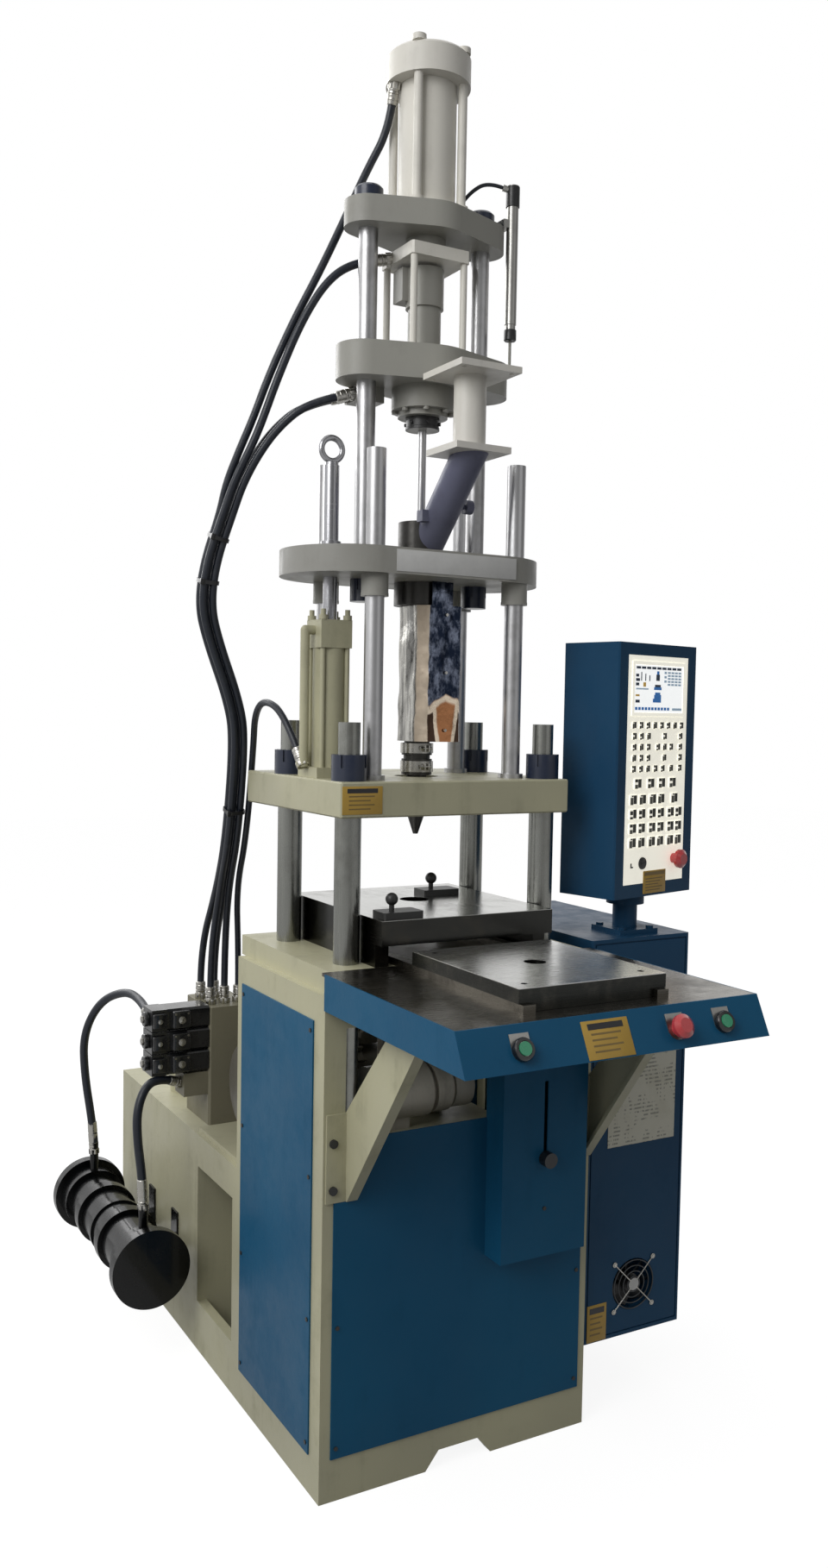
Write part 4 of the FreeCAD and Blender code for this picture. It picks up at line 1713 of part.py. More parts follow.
def cooler():
    """Tube and shell oil cooler: shell, bands, heads and end caps, with two ports."""
    y0, y1 = COOLER_Y0, COOLER_Y1
    head0, head1 = y0 + COOLER_CAP_L, y1 - COOLER_CAP_L
    shell0, shell1 = head0 + COOLER_HEAD_L, head1 - COOLER_HEAD_L
    body = turned_y(COOLER_X, COOLER_Z, [
        (y0, 0), (y0, COOLER_CAP_R), (head0, COOLER_CAP_R), (head0, COOLER_HEAD_R), (shell0, COOLER_HEAD_R),
        (shell0, COOLER_SHELL_R), (shell1, COOLER_SHELL_R), (shell1, COOLER_HEAD_R), (head1, COOLER_HEAD_R),
        (head1, COOLER_CAP_R), (y1, COOLER_CAP_R), (y1, 0),
    ])
    middle = (shell0 + shell1) / 2
    band = rod_y(COOLER_X, COOLER_Z, middle - COOLER_BAND_L / 2, middle + COOLER_BAND_L / 2,
                 COOLER_SHELL_R + VALVE_EDGE)
    ports = []
    for y in COOLER_PORT_Y:
        top = COOLER_Z + COOLER_HEAD_R + COOLER_PORT_H
        ports.append(rod(COOLER_X, y, COOLER_Z, top, FITTING_SLEEVE_R))
        ports.append(fitting(COOLER_X, y, top, UP))
    return joined(body, band, *ports)


def cooler_saddles():
    """Two brackets that hold the cooler shell to the tank side."""
    pieces = []
    bore = rod_y(COOLER_X, COOLER_Z, COOLER_Y0, COOLER_Y1, COOLER_SHELL_R + COOLER_SADDLE_GAP)
    half = COOLER_SADDLE_H / 2
    for y in COOLER_SADDLE_Y:
        ring = rod_y(COOLER_X, COOLER_Z, y, y + COOLER_SADDLE_W, COOLER_SHELL_R + 2 * VALVE_EDGE)
        arm = box(COOLER_X, 0, y, y + COOLER_SADDLE_W, COOLER_Z - half, COOLER_Z - half / 3)
        pad = box(-VALVE_EDGE, 0, y - VALVE_EDGE, y + COOLER_SADDLE_W + VALVE_EDGE, COOLER_Z - half,
                  COOLER_Z + half)
        pieces.append(joined(ring, arm, pad).cut(bore))
    return pieces


def cabinet():
    """Electrical cabinet with a front door, fan opening and spacers to the frame."""
    x1, y1 = CABINET_X0 + CABINET_W, CABINET_Y0 + CABINET_D
    body = box(CABINET_X0, x1, CABINET_Y0, y1, CABINET_Z0, CABINET_TOP)
    body = body.makeChamfer(CABINET_EDGE / 2, [e for e in body.Edges if abs(e.tangentAt(0).z) > 0.5])
    inset = CABINET_DOOR_INSET
    groove = box(CABINET_X0 + inset, x1 - inset, CABINET_Y0 - inset, CABINET_Y0 + CABINET_DOOR_T,
                 CABINET_Z0 + inset, CABINET_TOP - inset)
    door = box(CABINET_X0 + inset + CABINET_DOOR_T, x1 - inset - CABINET_DOOR_T, CABINET_Y0,
               CABINET_Y0 + CABINET_DOOR_T, CABINET_Z0 + inset + CABINET_DOOR_T,
               CABINET_TOP - inset - CABINET_DOOR_T)
    opening = rod_y(FAN_X, FAN_Z, CABINET_Y0 - FAN_DEPTH, CABINET_Y0 + FAN_DEPTH, FAN_OPENING_R)
    pin = rod_y(FAN_X, FAN_Z, CABINET_Y0 + FAN_DEPTH / 4, CABINET_Y0 + FAN_DEPTH, FAN_PIN_R)
    spacers = [
        rod_x(y, z, FRAME_W + PANEL_T, CABINET_X0, SPACER_R)
        for y in SPACER_Y for z in SPACER_Z
    ]
    return joined(joined(body.cut(groove), door).cut(opening), pin, *spacers)


def fan():
    """Axial fan: hub with tilted blades, turning on the cabinet pin."""
    y0 = CABINET_Y0 + FAN_DEPTH / 4 - VALVE_GAP / 2
    hub = rod_y(FAN_X, FAN_Z, y0, y0 + FAN_HUB_L, FAN_HUB_R)
    blades = []
    middle = y0 + FAN_HUB_L / 2
    for k in range(FAN_BLADES):
        blade = box(FAN_X - FAN_BLADE_W / 2, FAN_X + FAN_BLADE_W / 2, middle - FAN_BLADE_T / 2,
                    middle + FAN_BLADE_T / 2, FAN_Z + FAN_HUB_R / 2, FAN_Z + FAN_TIP_R)
        blade.rotate(V(FAN_X, middle, FAN_Z), UP, FAN_BLADE_TILT)
        blade.rotate(V(FAN_X, middle, FAN_Z), ALONG_Y, 360 / FAN_BLADES * k)
        blades.append(blade)
    pin_y = CABINET_Y0 + FAN_DEPTH / 4 - SLIDE_GAP
    sleeve = rod_y(FAN_X, FAN_Z, pin_y, y0 + 2 * FAN_HUB_L, FAN_PIN_R + RUNNING_GAP)
    outside = rod_y(FAN_X, FAN_Z, y0 - FAN_HUB_L, y0 + 3 * FAN_HUB_L, 2 * FAN_TIP_R)
    trim = outside.cut(rod_y(FAN_X, FAN_Z, y0 - FAN_HUB_L, y0 + 3 * FAN_HUB_L, FAN_TIP_R))
    return joined(hub, *blades).cut([trim, sleeve])


def fan_guard():
    """Guard of rings on four crossed spokes, seated on the cabinet front."""
    y0 = CABINET_Y0 - GUARD_T
    spoke_y = CABINET_Y0 - GUARD_SPOKE_T
    rings = [
        rod_y(FAN_X, FAN_Z, y0, CABINET_Y0, r + GUARD_WIRE_W / 2).cut(
            rod_y(FAN_X, FAN_Z, y0 - GUARD_T, CABINET_Y0 + GUARD_T, r - GUARD_WIRE_W / 2))
        for r in GUARD_RINGS
    ]
    spokes = []
    for k in range(GUARD_SPOKES):
        spoke = box(FAN_X - GUARD_WIRE_W / 2, FAN_X + GUARD_WIRE_W / 2, spoke_y, CABINET_Y0,
                    FAN_Z, FAN_Z + GUARD_SPOKE_L)
        spoke.rotate(V(FAN_X, CABINET_Y0, FAN_Z), ALONG_Y, 360 / GUARD_SPOKES * (k + 1 / 2))
        spokes.append(spoke)
    hub = rod_y(FAN_X, FAN_Z, y0, CABINET_Y0, GUARD_HUB_R)
    return joined(hub, *spokes, *rings)


def pendant_axis():
    """Plan position of the pendant post."""
    turn = PENDANT_ANGLE
    x = PENDANT_CORNER[0] + PENDANT_W / 2 * math.cos(turn) - PENDANT_D / 2 * math.sin(turn)
    y = PENDANT_CORNER[1] + PENDANT_W / 2 * math.sin(turn) + PENDANT_D / 2 * math.cos(turn)
    return x, y


def pendant_place(piece):
    """Turn a piece drawn from the pendant's lower front left corner into place."""
    piece = piece.copy()
    corner = V(PENDANT_CORNER[0], PENDANT_CORNER[1], PENDANT_Z0)
    piece.Placement = FreeCAD.Placement(corner, FreeCAD.Rotation(UP, PENDANT_TURN)).multiply(piece.Placement)
    return piece


def pendant_post():
    """Post on the cabinet top: bolted flange, tube and turntable."""
    x, y = pendant_axis()
    half = POST_FLANGE_W / 2
    flange = box(x - half, x + half, y - half, y + half, CABINET_TOP, CABINET_TOP + POST_FLANGE_T)
    bolts = [
        rod(bx, by, CABINET_TOP + POST_FLANGE_T, CABINET_TOP + POST_FLANGE_T + BOLT_HEAD_H, BOLT_HEAD_R)
        for bx, by in corners(x, y, POST_FLANGE_W * 3 / 4, POST_FLANGE_W * 3 / 4)
    ]
    top = PENDANT_Z0 - POST_CAP_T - POST_GAP
    tube_piece = rod(x, y, CABINET_TOP + POST_FLANGE_T, top, POST_R)
    cap = rod(x, y, top - POST_CAP_T, top, POST_CAP_R)
    return joined(flange, tube_piece, cap, *bolts)


def pendant_case():
    """Pendant box with chamfered edges, face recess and turntable foot."""
    body = box(0, PENDANT_W, 0, PENDANT_D, 0, PENDANT_H)
    body = body.makeChamfer(PENDANT_EDGE / 2, [e for e in body.Edges if abs(e.tangentAt(0).z) > 0.5])
    recess = box(PENDANT_FACE_X, PENDANT_FACE_X + PENDANT_FACE_W, -PENDANT_FACE_T, PENDANT_FACE_T,
                 PENDANT_FACE_Z, PENDANT_FACE_Z + PENDANT_FACE_H)
    foot = rod(PENDANT_W / 2, PENDANT_D / 2, -POST_CAP_T, 0, POST_CAP_R)
    stop_x, stop_z = PENDANT_STOP_X + PENDANT_FACE_X, PENDANT_STOP_Z + PENDANT_FACE_Z
    bore = rod_y(stop_x, stop_z, -PENDANT_D / 4, PENDANT_D / 4,
                 STOP_STEM_R + RUNNING_GAP)
    return pendant_place(joined(body, foot).cut([recess, bore]))


def key_rows(rows, width, height):
    """Raised keys of one size, in rows on the operator face."""
    keys = []
    for dz, steps in rows:
        z0 = PENDANT_FACE_Z + dz - height / 2
        for dx in steps:
            x0 = PENDANT_FACE_X + dx - width / 2
            keys.append(box(x0, x0 + width, -KEY_T, 0, z0, z0 + height))
    return keys


def pendant_face():
    """Operator face in the recess: screen frame, rows of keys and the stop hole."""
    x0, z0 = PENDANT_FACE_X, PENDANT_FACE_Z
    sheet = box(x0, x0 + PENDANT_FACE_W, 0, PENDANT_FACE_T, z0, z0 + PENDANT_FACE_H)
    screen_x0 = x0 + (PENDANT_FACE_W - SCREEN_W) / 2
    screen_z1 = z0 + PENDANT_FACE_H - SCREEN_TOP
    rim = box(screen_x0, screen_x0 + SCREEN_W, -KEY_T, 0, screen_z1 - SCREEN_H, screen_z1)
    glass = box(screen_x0 + SCREEN_RIM, screen_x0 + SCREEN_W - SCREEN_RIM, -2 * KEY_T, -KEY_T + SCREEN_DEPTH,
                screen_z1 - SCREEN_H + SCREEN_RIM, screen_z1 - SCREEN_RIM)
    keys = key_rows(SMALL_KEY_ROWS, SMALL_KEY_W, SMALL_KEY_H)
    keys += key_rows(LARGE_KEY_ROWS, LARGE_KEY_W, LARGE_KEY_H)
    hole = rod_y(x0 + PENDANT_STOP_X, z0 + PENDANT_STOP_Z, -PENDANT_D, PENDANT_D, STOP_STEM_R + RUNNING_GAP)
    return pendant_place(joined(sheet, rim, *keys).cut([glass, hole]))


def pendant_stop():
    """Emergency stop of the pendant."""
    piece = stop_mushroom()
    place = V(PENDANT_FACE_X + PENDANT_STOP_X, 0, PENDANT_FACE_Z + PENDANT_STOP_Z)
    piece.Placement = FreeCAD.Placement(place, FreeCAD.Rotation(ALONG_X, 90))
    return pendant_place(piece)


def shifted(path, dx, dy):
    """Route moved sideways in plan."""
    return [(x + dx, y + dy, z) for x, y, z in path]


def hoses():
    """Hydraulic hoses of the tower, one set for each pair of bodies that they join."""
    low, mid, plate_ends, cap_end = [], [], [], []
    for number, (dx, dy) in enumerate(HOSE_OFFSETS):
        start = (*HOSE_PORTS[number], MANIFOLD_TOP_Z + FITTING_L)
        lead = (start[0], start[1], start[2] + HOSE_LEAD)
        low.append(tube([start, lead] + shifted(HOSE_LOW_PATH, dx, dy), HOSE_R, "hose_low"))
        mid_points = [HOSE_LOW_PATH[-1]] + list(HOSE_MID_PATH)
        mid.append(tube(shifted(mid_points, dx, dy), HOSE_R, "hose_mid"))
    start = (SEAT_HOSE_PORT[0], SEAT_HOSE_PORT[1], MANIFOLD_TOP_Z + FITTING_L)
    lead = (start[0], start[1], start[2] + HOSE_LEAD)
    low.append(tube([start, lead] + shifted(HOSE_LOW_PATH, *SEAT_HOSE_OFFSET), SEAT_HOSE_R, "hose_low"))
    rise = [HOSE_MID_PATH[-1]] + list(HOSE_RISE_PATH)
    for number, foot in zip((3, 2), PLATE_FEET):
        dx, dy = HOSE_OFFSETS[number]
        path = shifted(HOSE_PLATE_PATH, 0, foot[1] - PLATE_PORT_Y)
        _, end = hose_end(foot, path[-1])
        plate_ends.append(tube(shifted(rise, dx, dy) + path + [end], HOSE_R, "hose_plate"))
    _, end = hose_end(YOKE_FOOT, HOSE_YOKE_PATH[-1])
    plate_ends.append(tube(rise + list(HOSE_YOKE_PATH) + [end], HOSE_R, "hose_yoke"))
    _, end = hose_end(CAP_FOOT, HOSE_CAP_PATH[-1])
    rise = shifted(rise, *HOSE_OFFSETS[1])
    cap_end.append(tube(rise + list(HOSE_CAP_PATH) + [end], HOSE_R, "hose_cap"))
    return low, mid, plate_ends, cap_end


def cooler_hoses():
    """Two hoses from the cooler to the valves and the manifold."""
    top = COOLER_Z + COOLER_HEAD_R + COOLER_PORT_H + FITTING_L
    end_z = VALVE_Z0 + VALVE_COUNT * VALVE_PITCH - VALVE_PITCH / 2
    rear_end = (VALVE_X0 + VALVE_BODY_L / 2, VALVE_Y0 + VALVE_D + FITTING_L, end_z)
    rear = [(COOLER_X, COOLER_PORT_Y[1], top)] + list(COOLER_REAR_PATH) + [rear_end]
    _, front_end = hose_end(EAR_FOOT, COOLER_FRONT_PATH[-1])
    front = [(COOLER_X, COOLER_PORT_Y[0], top)] + list(COOLER_FRONT_PATH) + [front_end]
    return [tube(rear, COOLER_HOSE_R, "cooler_rear"), tube(front, COOLER_HOSE_R, "cooler_front")]


def seat_hose():
    """Hose from the bundle to the seat cylinder pipe."""
    start = shifted([HOSE_LOW_PATH[-1]], *SEAT_HOSE_OFFSET)
    _, end = hose_end(SEAT_HOSE_FOOT, SEAT_HOSE_PATH[-1])
    return tube(start + list(SEAT_HOSE_PATH) + [end], SEAT_HOSE_R, "seat_hose")


def main():
    """Build and save every node."""
    os.makedirs("parts", exist_ok=True)
    save("frame", frame())
    save("slab", slab())
    save("side_panels", *side_panels())
    save("front_panel", front_panel())
    save("cover_knob", cover_knob())
    save("screws", *screws())
    save("deck", deck())
    save("apron", apron())
    right_x = BRACKET_X + BRACKET_SPACING
    save("brackets", bracket(BRACKET_X, 0), bracket(right_x, BRACKET_SHEET - BRACKET_LIP))
    legends = [apron_place(x, legend_plate()) for x in BUTTON_X + (STOP_X,)]
    rings = [apron_place(x, button_ring()) for x in BUTTON_X]
    save("button_trims", *legends, *rings)
    save("start_left", apron_place(BUTTON_X[0], button_cap()))
    save("start_right", apron_place(BUTTON_X[1], button_cap()))
    save("table_stop", apron_place(STOP_X, stop_mushroom()))
    save("slide_plate", slide_plate())
    save("die_block", die_block())
    save("mould_clamps", *mould_clamps())
    save("clamp_cylinder", clamp_cylinder())
    save("pump_unit", pump_unit())
    save("tank", tank())
    save("drive_motor", drive_motor())
    save("manifold", manifold())
    save("valve_stack", *valve_stack())
    save("cooler", cooler())
    save("cooler_saddles", *cooler_saddles())
    save("cabinet", cabinet())
    save("fan", fan())
    save("fan_guard", fan_guard())
    save("pendant_post", pendant_post())
    save("pendant_case", pendant_case())
    save("pendant_face", pendant_face())
    save("pendant_stop", pendant_stop())
    save("platen", platen())
    save("tie_columns", *tie_columns())
    save("tie_nuts", *tie_nuts())
    save("crosshead", crosshead())
    save("guide_columns", *guide_columns())
    save("seat_cylinder", seat_cylinder())
    save("seat_plate", seat_plate())
    save("seat_rod", seat_rod())
    save("eye_bolt", eye_bolt())
    save("barrel", barrel())
    save("heater_guard", heater_guard())
    save("upper_columns", *upper_columns())
    save("column_nuts", *column_nuts())
    save("top_plate", top_plate())
    save("injection_cylinder", injection_cylinder())
    save("hopper_mount", hopper_mount())
    save("hopper_chute", hopper_chute())
    save("transducer", transducer())
    save("mid_plate", mid_plate())
    save("bearing_housing", bearing_housing())
    save("hydraulic_motor", hydraulic_motor())
    save("yoke", yoke())
    save("screw_shaft", screw_shaft())
    low, mid, plate_ends, cap_end = hoses()
    save("hose_low", *low)
    save("hose_mid", *mid)
    save("hose_plate", *plate_ends)
    save("hose_cap", *cap_end, signal_cable())
    save("seat_hose", seat_hose())
    save("cooler_hoses", *cooler_hoses())


main()
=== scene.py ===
"""Upright injection moulding machine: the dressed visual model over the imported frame."""
import logging
import math
from dataclasses import dataclass
from enum import Enum
from typing import Sequence

import bmesh
import bpy
from mathutils import Matrix, Vector, noise

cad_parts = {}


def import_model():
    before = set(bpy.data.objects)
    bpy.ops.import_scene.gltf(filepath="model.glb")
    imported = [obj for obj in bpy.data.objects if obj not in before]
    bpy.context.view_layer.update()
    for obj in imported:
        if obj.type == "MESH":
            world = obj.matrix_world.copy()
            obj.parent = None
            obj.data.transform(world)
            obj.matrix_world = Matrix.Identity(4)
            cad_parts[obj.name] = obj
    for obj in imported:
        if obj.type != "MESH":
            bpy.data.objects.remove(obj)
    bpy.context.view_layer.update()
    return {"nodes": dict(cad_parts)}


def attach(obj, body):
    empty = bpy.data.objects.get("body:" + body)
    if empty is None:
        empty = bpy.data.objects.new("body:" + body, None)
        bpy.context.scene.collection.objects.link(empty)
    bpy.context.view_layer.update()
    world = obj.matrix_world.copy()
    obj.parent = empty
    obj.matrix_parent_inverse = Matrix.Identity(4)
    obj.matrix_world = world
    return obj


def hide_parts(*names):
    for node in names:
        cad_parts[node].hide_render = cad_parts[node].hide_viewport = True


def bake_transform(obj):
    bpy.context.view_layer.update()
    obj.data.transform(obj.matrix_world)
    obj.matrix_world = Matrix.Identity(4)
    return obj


LOG = logging.getLogger("moulding_machine")
Colour = tuple[float, float, float, float]
Point = tuple[float, float, float]
Pair = tuple[float, float]
SHIFT = Vector((346.716, 368.174, 0.0))
SCALE = 0.001
HERE = Matrix.Identity(4)
UP: Point = (0, 0, 1)
CENTRE: Pair = (300, 212)
APRON_LEAN = math.atan2(33, 66)


def tone(code: str) -> Colour:
    """Linear colour of a six digit screen colour.

    Args:
        code: the colour as it looks on a screen, such as "B0AC92".

    Returns:
        Red, green, blue and alpha as linear values.
    """
    parts = [int(code[k:k + 2], 16) / 255 for k in (0, 2, 4)]
    red, green, blue = (p / 12.92 if p <= 0.04045 else ((p + 0.055) / 1.055) ** 2.4 for p in parts)
    return red, green, blue, 1.0


def metres(point: Sequence[float]) -> Vector:
    """Place of a point measured on the machine in millimetres, in the frame's metres."""
    return (Vector(point) - SHIFT) * SCALE


def axis_turn(axis: Sequence[float]) -> Matrix:
    """Rotation that takes the Z axis to the given axis."""
    return Vector(UP).rotation_difference(Vector(axis).normalized()).to_matrix().to_4x4()


def placed(name: str, data: bpy.types.ID) -> bpy.types.Object:
    """New object in the scene.

    Args:
        name: its name.
        data: its mesh, curve, lamp or camera.

    Returns:
        The object.
    """
    made = bpy.data.objects.new(name, data)
    bpy.context.scene.collection.objects.link(made)
    return made


class Grain(Enum):
    """Run of the fine tool marks on bare metal, as a scale for each axis."""

    ROUND_Z = (1.0, 1.0, 90.0)
    ALONG_X = (1.0, 60.0, 60.0)
    ALONG_Y = (60.0, 1.0, 60.0)
    ALONG_Z = (60.0, 60.0, 1.0)
    EVEN = (9.0, 9.0, 9.0)


class Net:
    """A node tree that gets all its nodes from one method."""

    def __init__(self, tree: bpy.types.NodeTree) -> None:
        """Start with the tree emptied."""
        self.tree = tree
        tree.nodes.clear()

    def node(self, kind: str, links: dict[str | int, object], **settings: object) -> bpy.types.Node:
        """Add one node.

        Args:
            kind: the node's type.
            links: input sockets by name or number, each a socket, a Value or a constant.
            settings: properties of the node.

        Returns:
            The node.
        """
        made = self.tree.nodes.new(kind)
        for key, setting in settings.items():
            setattr(made, key, setting)
        for key, value in links.items():
            self.feed(made.inputs[key], value)
        return made

    def feed(self, socket: bpy.types.NodeSocket, value: object) -> None:
        """Link an input or set its constant.

        Args:
            socket: the input.
            value: a socket, a Value or a constant.
        """
        source = value.socket if isinstance(value, Value) else value
        if isinstance(source, bpy.types.NodeSocket):
            self.tree.links.new(source, socket)
        else:
            socket.default_value = source

    def value(self, kind: str, links: dict[str | int, object], output: int | str = 0,
              **settings: object) -> "Value":
        """One output of a new node."""
        return Value(self, self.node(kind, links, **settings).outputs[output])


class Value:
    """A number socket of a node tree, with arithmetic that adds Math nodes."""

    def __init__(self, net: Net, socket: bpy.types.NodeSocket) -> None:
        """Keep the tree and its socket."""
        self.net = net
        self.socket = socket

    def maths(self, operation: str, *values: "Value | float") -> "Value":
        """Result of a Math node on the values."""
        return self.net.value("ShaderNodeMath", dict(enumerate(values)), operation=operation)

    def __add__(self, other: "Value | float") -> "Value":
        """Sum."""
        return self.maths("ADD", self, other)

    def __radd__(self, other: float) -> "Value":
        """Sum, reflected."""
        return self.maths("ADD", other, self)

    def __sub__(self, other: "Value | float") -> "Value":
        """Difference."""
        return self.maths("SUBTRACT", self, other)

    def __rsub__(self, other: float) -> "Value":
        """Difference, reflected."""
        return self.maths("SUBTRACT", other, self)

    def __mul__(self, other: "Value | float") -> "Value":
        """Product."""
        return self.maths("MULTIPLY", self, other)

    def __rmul__(self, other: float) -> "Value":
        """Product, reflected."""
        return self.maths("MULTIPLY", other, self)

    def __truediv__(self, other: "Value | float") -> "Value":
        """Quotient."""
        return self.maths("DIVIDE", self, other)

    def __rtruediv__(self, other: float) -> "Value":
        """Quotient, reflected."""
        return self.maths("DIVIDE", other, self)

    def __abs__(self) -> "Value":
        """Size without its sign."""
        return self.maths("ABSOLUTE", self)

    def part(self) -> "Value":
        """Fraction after the point."""
        return self.maths("FRACT", self)

    def capped(self) -> "Value":
        """The value, or one if it is more."""
        return self.maths("MINIMUM", self, 1.0)

    def fit(self, low: float, high: float, out_low: float = 0.0, out_high: float = 1.0) -> "Value":
        """Smooth step, from out_low below low to out_high above high."""
        return self.net.value("ShaderNodeMapRange", dict(enumerate((self, low, high, out_low, out_high))),
                              interpolation_type="SMOOTHSTEP")


class Shade(Net):
    """Builder of one procedural material on Object coordinates."""

    def __init__(self, name: str) -> None:
        """Start a material with its surface and output nodes.

        Args:
            name: the material's name.
        """
        self.material = bpy.data.materials.new(name)
        self.material.use_nodes = True
        super().__init__(self.material.node_tree)
        self.surface = self.node("ShaderNodeBsdfPrincipled", {})
        self.output = self.node("ShaderNodeOutputMaterial", {0: self.surface.outputs[0]})
        self.place = self.node("ShaderNodeTexCoord", {}).outputs["Object"]

    def cloud(self, scale: float, detail: float = 3.0, rough: float = 0.55,
              stretch: Point = (1, 1, 1)) -> Value:
        """Noise over the piece, about 0.5 in the mean, with so many cells for each metre."""
        place = self.node("ShaderNodeMapping", {"Vector": self.place, "Scale": stretch}).outputs[0]
        return self.value("ShaderNodeTexNoise", {"Vector": place, "Scale": scale, "Detail": detail,
                                                 "Roughness": rough})

    def cells(self, scale: float) -> Value:
        """Distance to the edge of the nearest cell."""
        return self.value("ShaderNodeTexVoronoi", {"Vector": self.place, "Scale": scale},
                          feature="DISTANCE_TO_EDGE")

    def along(self, axis: int) -> Value:
        """One Object coordinate, in metres."""
        return self.value("ShaderNodeSeparateXYZ", {0: self.place}, axis)

    def blend(self, part: Value | float, first: object, second: object) -> bpy.types.NodeSocket:
        """Mix of two colours by a part from 0 to 1."""
        return self.node("ShaderNodeMix", {0: part, 6: first, 7: second}, data_type="RGBA").outputs[2]

    def relief(self, height: Value, depth: float, strength: float) -> bpy.types.NodeSocket:
        """Bump of a height, its depth in metres."""
        links = {"Height": height, "Distance": depth, "Strength": strength}
        return self.node("ShaderNodeBump", links).outputs[0]

    def done(self, **sockets: object) -> bpy.types.Material:
        """Set the surface and give the material back.

        Args:
            sockets: inputs of the surface, named with underscores for spaces.

        Returns:
            The material.
        """
        for key, value in sockets.items():
            self.feed(self.surface.inputs[key.replace("_", " ")], value)
        return self.material


@dataclass(frozen=True)
class Finish:
    """A finish that keeps one material for the whole machine."""

    name: str

    def material(self) -> bpy.types.Material:
        """The finish's material, built the first time it is asked for."""
        kept = bpy.data.materials.get(self.name)
        return kept if kept else self.build(Shade(self.name))

    def build(self, shade: Shade) -> bpy.types.Material:
        """Set up the material."""
        raise NotImplementedError


@dataclass(frozen=True)
class Paint(Finish):
    """Sprayed machine paint: uneven tone, dust, drips of oil and orange peel; on the manifold the heavy
    grime is also painted shade.
    """

    colour: str
    grime_and_shade: str = "4A4638"
    wear_and_shade: float = 0.5
    rough: float = 0.36
    coat: float = 0.05
    sheen: float = 0.22
    haze: float = 0.22
    peel: float = 0.0004

    def build(self, shade: Shade) -> bpy.types.Material:
        """Set up the material.

        Args:
            shade: the material's builder.

        Returns:
            The material.
        """
        cloud = shade.cloud(13, 6, 0.65)
        streak = shade.cloud(26, 4, 0.6, (1, 1, 0.07))
        red, green, blue, _ = tone(self.colour)
        dark = (red * 0.88, green * 0.88, blue * 0.9, 1.0)
        pale = (min(1, red * 1.07), min(1, green * 1.07), min(1, blue * 1.05), 1.0)
        base = shade.blend(shade.cloud(2.2, 2).fit(0.3, 0.7), dark, pale)
        # Dust and drips of oil towards the grime colour; on the manifold this darkening is partly painted
        # shade.
        dirt_and_shade = (cloud * 0.55 + streak * 0.55).fit(0.55, 0.78) * self.wear_and_shade
        specks = shade.cloud(310, 2, 0.5).fit(0.70, 0.76) * (0.35 * self.wear_and_shade)
        for part in (dirt_and_shade * 0.45, specks):
            base = shade.blend(part, base, tone(self.grime_and_shade))
        rough = cloud.fit(0.3, 0.7, self.rough - 0.07, self.rough + 0.1) + dirt_and_shade * 0.18
        skin = shade.cloud(520, 2, 0.5) * 0.6 + shade.cloud(95, 2, 0.5)
        return shade.done(Base_Color=base, Roughness=rough, Coat_Weight=self.coat, Coat_Roughness=self.haze,
                          Specular_IOR_Level=self.sheen, Normal=shade.relief(skin, self.peel, 0.55))


@dataclass(frozen=True)
class Metal(Finish):
    """Bare or plated metal with tool marks, smears of oil and patches of wear, and, where a flank colour is
    given, painted shade on the sides below a height.
    """

    colour: str
    stain: str = "3A352C"
    rough: float = 0.25
    grain: Grain = Grain.ROUND_Z
    oil: float = 0.3
    marks: float = 0.4
    mark_depth: float = 0.0003
    shaded_flank: str = ""
    shaded_flank_top: float = 0.0

    def build(self, shade: Shade) -> bpy.types.Material:
        """Set up the material.

        Args:
            shade: the material's builder.

        Returns:
            The material.
        """
        lines = shade.cloud(14, 3, 0.6, self.grain.value)
        smear = shade.cloud(9, 5, 0.6, (1, 1, 0.45))
        stains = (smear * 0.7 + shade.cloud(38, 4, 0.6) * 0.35).fit(0.5, 0.68) * self.oil
        bare = tone(self.colour)
        # Painted shade: below a height the sides take the dark flank colour, so the top reads lit and the
        # sides shaded.
        if self.shaded_flank:
            face = shade.along(2).fit(self.shaded_flank_top - 0.0016, self.shaded_flank_top - 0.0004)
            bare = shade.blend(face, tone(self.shaded_flank), bare)
        rough = (lines.fit(0.25, 0.75, self.rough - 0.06, self.rough + 0.08)
                 + smear.fit(0.42, 0.7, 0.0, 0.16) * self.oil)
        return shade.done(Base_Color=shade.blend(stains, bare, tone(self.stain)), Metallic=1.0,
                          Roughness=rough, Normal=shade.relief(lines, self.mark_depth, self.marks))


